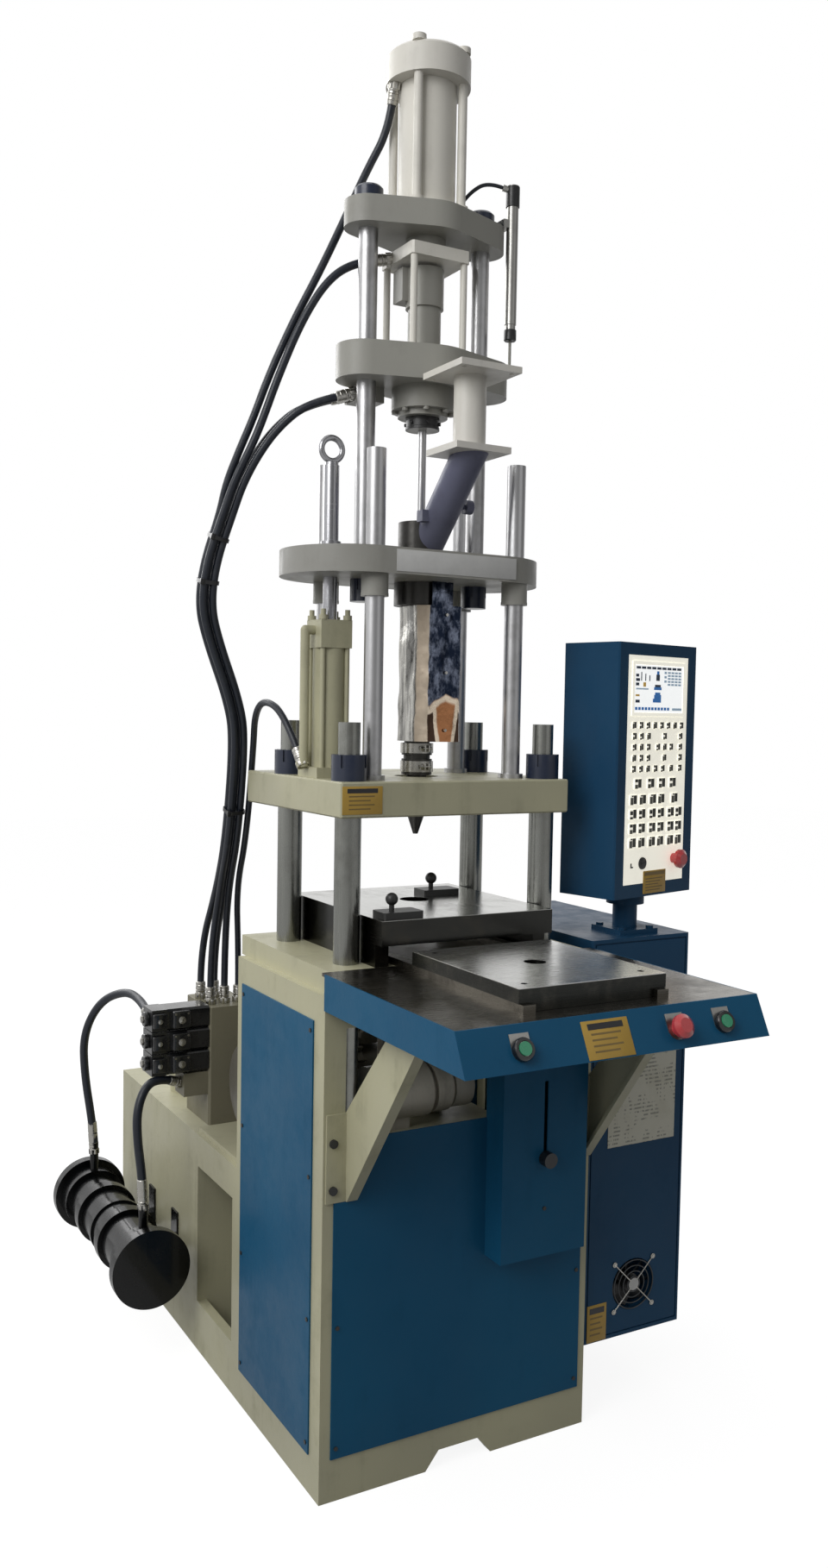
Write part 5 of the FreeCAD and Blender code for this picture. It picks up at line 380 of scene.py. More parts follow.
@dataclass(frozen=True)
class Foil(Finish):
    """Thin polished sheet, dented and crumpled, heat tinted near its low end; the front face's dark navy is
    painted shade and its pale crumples painted highlights, so it reads darker than the side.
    """

    pale: str = "B4B2AC"
    dull: str = "6A6966"
    strip: str = "C6B8A6"
    # Front face: dark navy painted shade and pale painted highlights on the crumples.
    shadow: str = "1E2636"
    crease_highlight: str = "858DA0"
    tint: str = "B07A54"
    edge: str = "F0DFC8"
    scorch: str = "4A3A30"
    face_x: float = -0.0560
    face_soft: float = 0.0008
    strip_y: float = -0.1945
    bow_x: float = -0.0170
    tint_top: float = 1.494
    dent: float = 0.0045

    def build(self, shade: Shade) -> bpy.types.Material:
        """Set up the material.

        Args:
            shade: the material's builder.

        Returns:
            The material.
        """
        folds = shade.cells(22) * 0.5 + shade.cloud(16, 4, 0.6) * 0.9
        fine = shade.cloud(70, 3, 0.6)
        across, height, top = shade.along(0), shade.along(2), self.tint_top
        strip = shade.along(1).fit(self.strip_y, self.strip_y - 0.003)
        streak = shade.cloud(60, 4, 0.6, (1, 1, 0.08)).fit(0.36, 0.62)
        side = shade.blend(strip, shade.blend(streak, tone(self.dull), tone(self.pale)), tone(self.strip))
        # Painted reflection on the front face: the shadow colour with pale highlights on the crumples.
        crumple_light = shade.cloud(46, 6, 0.7, (1, 1, 0.6)).fit(0.42, 0.7)
        front = shade.blend(crumple_light, tone(self.shadow), tone(self.crease_highlight))
        offset = abs(across - self.bow_x)
        bow = height + (shade.cloud(20, 2) - 0.5) * 0.03 + offset * 0.45
        waist = offset + (height - top) * -0.13 + (shade.cloud(26, 2) - 0.5) * 0.008
        hot = bow.fit(top + 0.003, top - 0.003)
        rim = (bow.fit(top - 0.016, top - 0.008) + waist.fit(0.023, 0.027)).capped() * hot
        dark = waist.fit(0.032, 0.034) * bow.fit(top - 0.016, top - 0.02)
        for part, colour in ((hot, self.tint), (rim, self.edge), (dark, self.scorch)):
            front = shade.blend(part, front, tone(colour))
        # The front face takes the darker painted colours and the side the paler streaks: lit and shaded
        # copies of one sheet.
        face = across.fit(self.face_x - self.face_soft, self.face_x + self.face_soft)
        rough = fine.fit(0.3, 0.7, 0.14, 0.3) + strip * (1.0 - face) * 0.35
        return shade.done(Base_Color=shade.blend(face, side, front), Metallic=1.0, Roughness=rough,
                          Normal=shade.relief(folds + fine * 0.15, self.dent, 0.5))


@dataclass(frozen=True)
class Rubber(Finish):
    """Hose cover or moulded rubber: dull, with a cloth print and dust; the navy tint of its dark colour is a
    painted sheen.
    """

    # Dark rubber with a navy tint that is painted sheen.
    colour: str = "131A26"
    dusty: str = "4C4E50"
    rough: float = 0.38
    cloth: float = 0.0003

    def build(self, shade: Shade) -> bpy.types.Material:
        """Set up the material.

        Args:
            shade: the material's builder.

        Returns:
            The material.
        """
        dust = shade.cloud(24, 5, 0.65)
        base = shade.blend(dust.fit(0.5, 0.8) * 0.35, tone(self.colour), tone(self.dusty))
        rough = dust.fit(0.3, 0.7, self.rough - 0.06, self.rough + 0.12)
        return shade.done(Base_Color=base, Roughness=rough,
                          Normal=shade.relief(shade.cloud(900, 2, 0.5), self.cloth, 0.5))


@dataclass(frozen=True)
class Plastic(Finish):
    """Moulded plastic with a faint texture, and emission where it glows, such as the lit display; on the
    keypad film the glow is painted light.
    """

    colour: str
    rough: float = 0.35
    coat: float = 0.2
    glow: float = 0.0
    texture: float = 0.0002

    def build(self, shade: Shade) -> bpy.types.Material:
        """Set up the material.

        Args:
            shade: the material's builder.

        Returns:
            The material.
        """
        haze = shade.cloud(30, 4, 0.6)
        bright = tone(self.colour)
        dim = (*(part * 0.8 + 0.01 for part in bright[:3]), 1.0)
        return shade.done(Base_Color=shade.blend(haze.fit(0.35, 0.75) * 0.5, bright, dim),
                          Roughness=haze.fit(0.3, 0.7, self.rough - 0.05, self.rough + 0.1),
                          Coat_Weight=self.coat, Emission_Color=bright, Emission_Strength=self.glow,
                          Normal=shade.relief(shade.cloud(650, 2, 0.5), self.texture, 0.35))


@dataclass(frozen=True)
class Sheet(Finish):
    """Printed sheet without words: rows of pale grey marks on paper."""

    colour: str = "C9C7B8"
    stain: str = "A9A58F"
    ink: str = "77776E"
    row: float = 0.0085
    wave: float = 0.0012

    def build(self, shade: Shade) -> bpy.types.Material:
        """Set up the material.

        Args:
            shade: the material's builder.

        Returns:
            The material.
        """
        rows = (shade.along(2) / self.row).part().fit(0.52, 0.6)
        words = shade.cloud(130, 2, 0.6, (1, 1, 0.3)).fit(0.47, 0.52)
        column = shade.cloud(26, 1, 0.5, (1, 1, 0.6)).fit(0.44, 0.5)
        stains = shade.cloud(18, 4, 0.6).fit(0.4, 0.75) * 0.4
        base = shade.blend(stains, tone(self.colour), tone(self.stain))
        base = shade.blend(rows * words * column * 0.75, base, tone(self.ink))
        return shade.done(Base_Color=base, Roughness=0.6, Coat_Weight=0.3,
                          Normal=shade.relief(shade.cloud(22, 3), self.wave, 0.5))


BEIGE = Paint("beige_enamel", "B5B296", sheen=0.3)
BEIGE_TOP = Paint("beige_enamel_tower", "9B9A94", wear_and_shade=0.35)
TOWER_PALE = Paint("cylinder_enamel", "DAD7CF", wear_and_shade=0.3, sheen=0.3)
BLUE = Paint("blue_enamel", "1B5678", "16303F", wear_and_shade=0.3, sheen=0.1)
BLUE_DEEP = Paint("blue_enamel_deep", "1D4463", "11283A", wear_and_shade=0.35, rough=0.38, sheen=0.14)
PURPLE = Paint("chute_enamel", "6E7084", "33323C", rough=0.42)
GLOSS_BLACK = Paint("cooler_enamel", "050607", "1C1D1F", 0.15, 0.24, coat=0.34, sheen=0.2, haze=0.08)
CAST_PALE = Paint("cylinder_grey", "8F8776", "3A352B", wear_and_shade=0.9, rough=0.3, sheen=0.4)
# Manifold: its heavy grime is partly painted shade on a block that sits in shade near the frame.
MANIFOLD = Paint("manifold_grey", "7F7B68", "3B382D", wear_and_shade=0.9, rough=0.4)
MOTOR_GREY = Paint("motor_enamel", "6A675D", "3E3B33", wear_and_shade=0.8, rough=0.4, sheen=0.4)
PUMP_GREY = Paint("cast_grey", "B9B4A6", "57534A", wear_and_shade=0.9, rough=0.4)
CHROME = Metal("column_chrome", "B9B9BA", rough=0.34, oil=0.25, marks=0.25)
CHROME_DULL = Metal("tie_column_chrome", "93948F", "55544D", 0.24, Grain.ALONG_Z, 0.3, 0.08)
BLUED = Plastic("blued_steel", "18233A", 0.32)
CHROME_DARK = Metal("piston_chrome", "A7A7AA", rough=0.2, oil=0.4, marks=0.3)
# Die block and slide plate: the dark flank colour on their sides is painted shade under their lit tops.
GROUND = Metal("ground_steel", "B4B4B0", "58534A", 0.16, Grain.ALONG_Y, 0.4, 0.35, shaded_flank="3E3E3C",
               shaded_flank_top=1.078)
SLIDE = Metal("slide_steel", "E4E4E2", "77736A", 0.24, Grain.ALONG_X, 0.25, 0.3, shaded_flank="3A3B39",
              shaded_flank_top=1.0273)
DARK_STEEL = Metal("oiled_steel", "4A4947", "1C1A17", 0.34, Grain.EVEN, 0.6, 0.5)
# Deck: its dark grey-brown base colour is partly painted reflection; the oil stains on it are its own.
DECK = Metal("deck_stainless", "77736B", "2E2922", 0.24, Grain.ALONG_X, 0.6, 0.35)
NICKEL = Metal("plated_steel", "B5B3AD", "6B6558", 0.26, Grain.EVEN, 0.3, 0.3)
RING_WIRE = Metal("fan_ring_wire", "4C4E50", rough=0.3, oil=0.4)
ALLOY = Metal("alloy_tube", "A9A8A4", rough=0.33, grain=Grain.ALONG_Z, oil=0.15, marks=0.3)
BLACK_OXIDE = Metal("black_oxide", "1C2A42", "0E1320", 0.38, oil=0.5, marks=0.5)
FOIL = Foil("guard_foil")
HOSE = Rubber("hose_rubber_cover")
STRAP = Plastic("tie_nylon", "101012", 0.3)
BLACK = Plastic("black_moulding", "17181A", 0.4)
COIL = Plastic("coil_moulding", "121315", 0.24, 0.5)
RED = Plastic("stop_red_moulding", "C23A3E", 0.24, 0.6)
GREEN = Plastic("start_green_lens", "2A8F66", 0.2, 0.5, 0.05)
# The keypad film's glow is painted light: the film has no light behind it.
FILM = Plastic("keypad_film", "FFFCEE", 0.42, glow=0.5)
GREY_MARK = Plastic("key_grey", "66675E", 0.5)
DARK_MARK = Plastic("key_dark", "34362F", 0.5)
YELLOW = Plastic("caution_yellow", "B4913A", 0.45)
YELLOW_INK = Plastic("caution_ink", "7A6532", 0.5)
CAUTION_BLACK = Plastic("caution_black", "16161A", 0.4)
BADGE = Plastic("badge_plate", "C6C6C4")
PAPER = Sheet("document_sheet")
SCREEN_WHITE = Plastic("screen_white", "F2F4F4", 0.2, 0.5, 0.75)
SCREEN_BLUE = Plastic("screen_blue", "2E6DB0", 0.2, 0.5, 0.4)
SCREEN_DARK = Plastic("screen_dark", "27364A", 0.2, 0.5, 0.2)
SCREEN_PALE = Plastic("screen_pale", "9DB4C8", 0.2, 0.5, 0.35)
SCREEN_WARM = Plastic("screen_warm", "C9A24A", 0.2, 0.5, 0.3)


def rounded(part: bmesh.types.BMesh, edges: list[bmesh.types.BMEdge], radius: float, steps: int) -> None:
    """Round some edges of a part in so many steps, or none if the radius is zero."""
    if radius > 0:
        bmesh.ops.bevel(part, geom=edges, offset=radius, segments=steps, profile=0.5, affect="EDGES",
                        material=-1, clamp_overlap=True)


def wall(outline: Sequence[Pair], low: float, high: float) -> bmesh.types.BMesh:
    """Upright skin over a closed outline.

    Args:
        outline: its corners in plan.
        low: height of its lower edge.
        high: height of its upper edge.

    Returns:
        The skin, without thickness.
    """
    part = bmesh.new()
    rim = [part.verts.new((x, y, low)) for x, y in outline]
    edges = [part.edges.new(pair) for pair in zip(rim, rim[1:] + rim[:1])]
    grown = bmesh.ops.extrude_edge_only(part, edges=edges)["geom"]
    bmesh.ops.translate(part, vec=(0, 0, high - low),
                        verts=[v for v in grown if isinstance(v, bmesh.types.BMVert)])
    return part


class Workpiece:
    """A piece drawn in machine millimetres with bmesh operators, then placed in the frame."""

    def __init__(self, name: str) -> None:
        """Start an empty piece."""
        self.name = name
        self.bm = bmesh.new()

    def take(self, part: bmesh.types.BMesh, place: Matrix = HERE) -> None:
        """Add a finished part to the piece.

        Args:
            part: the part, which is used up.
            place: where the drawn part goes.
        """
        bmesh.ops.transform(part, matrix=place, verts=part.verts)
        bmesh.ops.recalc_face_normals(part, faces=part.faces)
        scratch = bpy.data.meshes.new("scratch")
        part.to_mesh(scratch)
        part.free()
        self.bm.from_mesh(scratch)
        bpy.data.meshes.remove(scratch)

    def block(self, low: Point, high: Point, edge: float, steps: int = 2, place: Matrix = HERE) -> None:
        """Add a box with rounded edges.

        Args:
            low: its least corner.
            high: its greatest corner.
            edge: radius of the rounded edges.
            steps: segments of the rounding.
            place: where the drawn box goes.
        """
        part = bmesh.new()
        bmesh.ops.create_cube(part, size=1.0)
        size = Vector(high) - Vector(low)
        middle = (Vector(high) + Vector(low)) / 2
        bmesh.ops.transform(part, matrix=Matrix.Translation(middle) @ Matrix.Diagonal((*size, 1.0)),
                            verts=part.verts)
        rounded(part, part.edges[:], edge, steps)
        self.take(part, place)

    def drum(self, start: Sequence[float], end: Sequence[float], radius: float, top: float | None = None,
             sides: int = 32, edge: float = 0.0) -> None:
        """Add a cylinder, cone or prism between two points.

        Args:
            start: centre of its first face.
            end: centre of its second face.
            radius: radius of the first face.
            top: radius of the second face, the same if left out.
            sides: number of sides.
            edge: radius of the rim's rounding.
        """
        run = Vector(end) - Vector(start)
        part = bmesh.new()
        bmesh.ops.create_cone(part, cap_ends=True, segments=sides, radius1=radius,
                              radius2=radius if top is None else top, depth=run.length)
        rims = [e for e in part.edges if abs(e.verts[0].co.z - e.verts[1].co.z) < 1e-4]
        rounded(part, rims, edge, 2)
        self.take(part, Matrix.Translation((Vector(end) + Vector(start)) / 2) @ axis_turn(run))

    def studs(self, starts: Sequence[Point], run: Point, radius: float, sides: int,
              edge: float = 0.0) -> None:
        """Add the same cylinder from each of several points."""
        for start in starts:
            self.drum(start, Vector(start) + Vector(run), radius, sides=sides, edge=edge)

    def turned(self, foot: Sequence[float], profile: Sequence[Pair], sides: int = 32, closed: bool = False,
               axis: Sequence[float] = UP, place: Matrix = HERE) -> None:
        """Add a turned form.

        Args:
            foot: start of its axis.
            profile: radius and height of each point.
            sides: steps of the spin.
            closed: whether the profile is a closed ring section.
            axis: direction of its axis.
            place: where the drawn piece goes.
        """
        part = bmesh.new()
        points = [part.verts.new((radius, 0, height)) for radius, height in profile]
        edges = [part.edges.new(pair) for pair in zip(points, points[1:])]
        if closed:
            edges.append(part.edges.new((points[-1], points[0])))
        bmesh.ops.spin(part, geom=points + edges, cent=(0, 0, 0), axis=UP, angle=math.tau, steps=sides,
                       use_merge=True)
        bmesh.ops.remove_doubles(part, verts=part.verts, dist=1e-4)
        self.take(part, place @ (Matrix.Translation(foot) @ axis_turn(axis)))

    def ring(self, centre: Sequence[float], axis: Point, large: float, small: float, sides: int) -> None:
        """Add a round wire ring."""
        section = [(large + small * math.cos(math.tau * k / 10), small * math.sin(math.tau * k / 10))
                   for k in range(10)]
        self.turned(centre, section, sides, True, axis)

    def done(self, finish: Finish, body: str, slot: str, replaces: Sequence[str] = (),
             smooth: float = 35.0) -> None:
        """Place the piece in the frame and hand it to its body.

        Args:
            finish: what it is made of or coated with.
            body: the body that it rides on.
            slot: name of a material slot, not used.
            replaces: CAD nodes that it stands for.
            smooth: angle above which an edge stays sharp.
        """
        bmesh.ops.transform(self.bm, matrix=Matrix.Scale(SCALE, 4) @ Matrix.Translation(-SHIFT),
                            verts=self.bm.verts)
        mesh = bpy.data.meshes.new(self.name)
        self.bm.to_mesh(mesh)
        self.bm.free()
        mesh.shade_smooth()
        mesh.set_sharp_from_angle(angle=math.radians(smooth))
        mesh.materials.append(finish.material())
        piece = placed(self.name, mesh)
        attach(piece, body)
        if replaces:
            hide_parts(*replaces)
        LOG.info("%s: %d faces on %s", self.name, len(mesh.polygons), body)


@dataclass
class Hose:
    """One hydraulic hose on its own smooth line."""

    name: str
    node: str
    points: Sequence[Point]
    radius: float
    body: str
    far_body: str = ""
    moves: Pair = (0.0, 0.0)
    steps: int = 10
    round_steps: int = 5
    smooth: float = 50.0

    def build(self) -> None:
        curve = bpy.data.curves.new(self.name, "CURVE")
        curve.dimensions = "3D"
        curve.resolution_u = self.steps
        line = curve.splines.new("NURBS")
        line.points.add(len(self.points) - 1)
        for control, point in zip(line.points, self.points):
            control.co = (*metres(point), 1.0)
        line.order_u = 3
        line.use_endpoint_u = True
        drawn = placed(self.name + "_line", curve)
        centre = bpy.data.meshes.new_from_object(drawn)
        path = [tuple(v.co) for v in centre.vertices]
        curve.bevel_depth = self.radius * SCALE
        curve.bevel_resolution = self.round_steps
        curve.use_fill_caps = True
        tube = bpy.data.meshes.new_from_object(drawn)
        bpy.data.objects.remove(drawn)
        bpy.data.meshes.remove(centre)
        tube.shade_smooth()
        tube.set_sharp_from_angle(angle=math.radians(self.smooth))
        tube.materials.clear()
        tube.materials.append(HOSE.material())
        piece = placed(self.name, tube)
        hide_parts(self.node)
        if self.far_body:
            start, end = ((*path[0][:2], height * SCALE) for height in self.moves)
            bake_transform(piece)
        else:
            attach(piece, self.body)
        2 * self.radius * SCALE


@dataclass
class HoseTower:
    """The hydraulic hoses from the manifold up the back of the machine."""

    radius: float = 8.0
    thin: float = 7.0
    cable: float = 3.8
    cooler: float = 10.0
    fitting: float = 28.0
    slack: float = 1.2
    band: float = 1.6
    tie_width: float = 8.0
    offsets: tuple = ((0, 0), (0, 20), (20, 20), (20, 0), (40, 0))
    ports: tuple = ((60, 745), (60, 812), (94, 812), (94, 745), (128, 745))
    port_heights: Point = (772, 800, 895)
    low: tuple = ((56, 679, 1050), (30, 556, 1185), (24, 522, 1297))
    mid: tuple = ((18.429, 490.429, 1401), (-3, 472, 1479), (-59, 448, 1602), (-83, 431, 1674),
                  (-79.791, 421.907, 1720))
    rise: tuple = ((-77, 414, 1760), (-55, 387, 1850))
    plate: tuple = ((-22, 365, 1909), (0, 335, 1967), (30, 306, 2018), (75, 272, 2062))
    yoke: tuple = ((-40, 366, 1914), (-14, 338, 1982), (2, 325, 2030), (28, 308, 2117), (69, 290, 2226),
                   (115, 272, 2307), (166, 255, 2344))
    cap: tuple = ((-49, 388, 1910), (-31, 362, 1975), (-11, 342, 2035), (15, 322, 2122), (58, 306, 2227),
                  (105, 291, 2324), (153, 284, 2429), (199, 276, 2535), (232, 250, 2610))
    seat: tuple = ((59.286, 495.286, 1385), (35, 430, 1452), (22, 350, 1482), (33, 275, 1455))
    signal: tuple = ((460.8, 184.2, 2525.2), (429, 190, 2531), (400, 206, 2512), (386, 236, 2484),
                     (384, 278, 2462), (382, 293, 2424))
    rear: tuple = ((-120, 1080, 367), (-124, 1086, 420), (-142, 1090, 540), (-152, 1066, 650),
                   (-126, 1010, 742), (-84, 930, 780), (-70, 850, 768), (-74.5, 800, 754.5))
    front: tuple = ((-120, 676, 367), (-125, 674, 425), (-134, 676, 495), (-134, 683, 564),
                    (-108, 697, 616), (-64, 716, 618))
    low_moves: Pair = (895, 1280)
    mid_moves: Pair = (1320, 1700)
    plate_moves: Pair = (1760, 2040)
    yoke_moves: Pair = (1760, 2330)
    plate_feet: tuple = ((3, (167, 250, 2089)), (2, (167, 277, 2089)))
    yoke_foot: Point = (237, 238, 2357)
    cap_foot: Point = (232, 226, 2692)
    seat_foot: Point = (48, 212, 1352)
    front_foot: Point = (-13, 738, 597)
    cooler_ends: tuple = (
        ("rear_low", (-120, 1080, 339), (-124, 1086, 420), 40),
        ("rear_high", (-74.5, 772, 754.5), (-74.5, 860, 754.5), 0),
        ("front_low", (-120, 676, 339), (-125, 674, 425), 30),
        ("front_high", (-13, 738, 597), (-64, 716, 618), 0),
    )

    def build(self) -> None:
        """Make every hose, its crimped ends and the ties."""
        foot_z, low_z, high_z = self.port_heights
        for number, (step, port) in enumerate(zip(self.offsets, self.ports)):
            run = [(*port, low_z), (*port, high_z), *self.moved(self.low, step)]
            radius = self.thin if number == 4 else self.radius
            Hose(f"hose_low_{number}", "hose_low", run, radius, "base", "clamp", self.low_moves).build()
        for number, step in enumerate(self.offsets[:4]):
            run = self.moved([self.low[-1], *self.mid], step)
            Hose(f"hose_mid_{number}", "hose_mid", run, self.radius, "clamp", "seat",
                 self.mid_moves).build()
        start = [self.mid[-1], *self.rise]
        for number, foot in self.plate_feet:
            aside = (0, foot[1] - self.plate_feet[0][1][1])
            run = self.moved(start, self.offsets[number]) + self.moved(self.plate, aside)
            self.ended(Hose(f"hose_plate_{number}", "hose_plate", run, self.radius, "seat", "injection",
                            self.plate_moves), foot, f"plate_end_{number}")
        self.ended(Hose("hose_yoke", "hose_plate", [*start, *self.yoke], self.radius, "seat", "injection",
                        self.yoke_moves), self.yoke_foot, "yoke_end")
        run = [*self.moved(start, self.offsets[1]), *self.cap]
        self.ended(Hose("hose_cap", "hose_cap", run, self.radius, "seat"), self.cap_foot, "cap_end")
        run = [*self.moved(self.low[-1:], self.offsets[4]), *self.seat]
        self.ended(Hose("seat_hose", "seat_hose", run, self.thin, "clamp"), self.seat_foot, "seat_end")
        Hose("signal_cable", "hose_cap", self.signal, self.cable, "seat").build()
        Hose("cooler_hose_rear", "cooler_hoses", self.rear, self.cooler, "base").build()
        run = self.to_mouth(self.front, self.front_foot)
        Hose("cooler_hose_front", "cooler_hoses", run, self.cooler, "base").build()
        for number, port in enumerate(self.ports):
            self.crimp(f"port_end_{number}", (*port, foot_z), (*port, high_z), "base")
        for name, foot, aim, tail in self.cooler_ends:
            self.crimp("cooler_" + name, foot, aim, "base", tail)
        self.ties()

    def moved(self, points: Sequence[Point], step: Pair) -> list[Point]:
        """Route moved sideways in plan."""
        return [(x + step[0], y + step[1], z) for x, y, z in points]

    def to_mouth(self, points: Sequence[Point], foot: Point) -> list[Point]:
        """Route that runs on into the mouth of the fitting on a foot."""
        out = (Vector(points[-1]) - Vector(foot)).normalized() * self.fitting
        return [*points, tuple(Vector(foot) + out)]

    def ended(self, hose: Hose, foot: Point, name: str) -> None:
        """Make a hose that runs on into the mouth of a fitting, and the fitting.

        Args:
            hose: the hose, with the route that it has before the fitting.
            foot: where the fitting stands.
            name: the fitting's name.
        """
        aim = hose.points[-1]
        hose.points = self.to_mouth(hose.points, foot)
        hose.build()
        self.crimp(name, foot, aim, hose.far_body or hose.body)

    def crimp(self, name: str, foot: Point, aim: Point, body: str, tail: float = 0.0) -> None:
        """Plated hose end: hexagon nut, collar and a swaged sleeve with its grooves.

        Args:
            name: the piece's name.
            foot: where the nut stands.
            aim: a point that the hose end points at.
            body: the body that it rides on.
            tail: how much longer the sleeve is than the short one.
        """
        piece = Workpiece("crimp_" + name)
        unit = (Vector(aim) - Vector(foot)).normalized()
        piece.drum(foot, Vector(foot) + unit * 12.4, 13.5, sides=6, edge=1)
        sleeve = [(6.5, 11), (11.2, 12), (11.2, 14.5), (10.8, 15.5), (11.7, 17), (11.7, 20), (10.8, 21),
                  (11.7, 22), (11.7, 26), (10.9, 28), (11.6, 31), (11.6, 31.5 + tail * 0.45),
                  (10.9, 32.5 + tail * 0.5), (11.6, 33.5 + tail * 0.55), (11, 39 + tail), (9.6, 40.5 + tail),
                  (7, 41 + tail)]
        piece.turned(foot, sleeve, 28, axis=unit)
        piece.done(NICKEL, body, "bare_aluminium")

    def ties(self) -> None:
        """Nylon straps round the bundle of four."""
        for name, at, along, body in (
            ("tie_low", (27, 539, 1241), (-6, -34, 112), "clamp"),
            ("tie_bend", (-79.8, 421.9, 1718), (3.2, -9.1, 46), "seat"),
            ("tie_rise", (-66, 400.5, 1805), (22, -27, 90), "seat"),
        ):
            self.strap(name, at, along, self.tie_width, body)

    def strap(self, name: str, at: Point, along: Point, width: float, body: str) -> None:
        """Strap of one width round four hoses, with its lock.

        Args:
            name: the piece's name.
            at: middle of the first hose where the strap goes round.
            along: direction of the hoses.
            width: width of the strap.
            body: the body that it rides on.
        """
        centres = [Vector(at) + Vector((*step, 0)) for step in self.offsets[:4]]
        turn = Matrix.Translation(sum(centres, Vector()) / len(centres)) @ axis_turn(along)
        flat = [turn.inverted() @ c for c in centres]
        radius = self.radius + self.slack
        outline: list[Pair] = []
        order = sorted(flat, key=lambda p: math.atan2(p.y, p.x))
        for place in order:
            for step in range(-3, 4):
                angle = math.atan2(place.y, place.x) + step * math.radians(15)
                outline.append((place.x + radius * math.cos(angle), place.y + radius * math.sin(angle)))
        loop = wall(outline, -width / 2, width / 2)
        bmesh.ops.recalc_face_normals(loop, faces=loop.faces)
        bmesh.ops.solidify(loop, geom=loop.faces[:], thickness=-self.band)
        part = Workpiece(name)
        part.take(loop, turn)
        spot = Vector((order[0].x, order[0].y, 0))
        spot += spot.normalized() * (radius + 2)
        lock = Vector((4, 4, width / 2 + 2))
        part.block(spot - lock, spot + lock, 1, 2, turn)
        part.done(STRAP, body, "black_plastic")


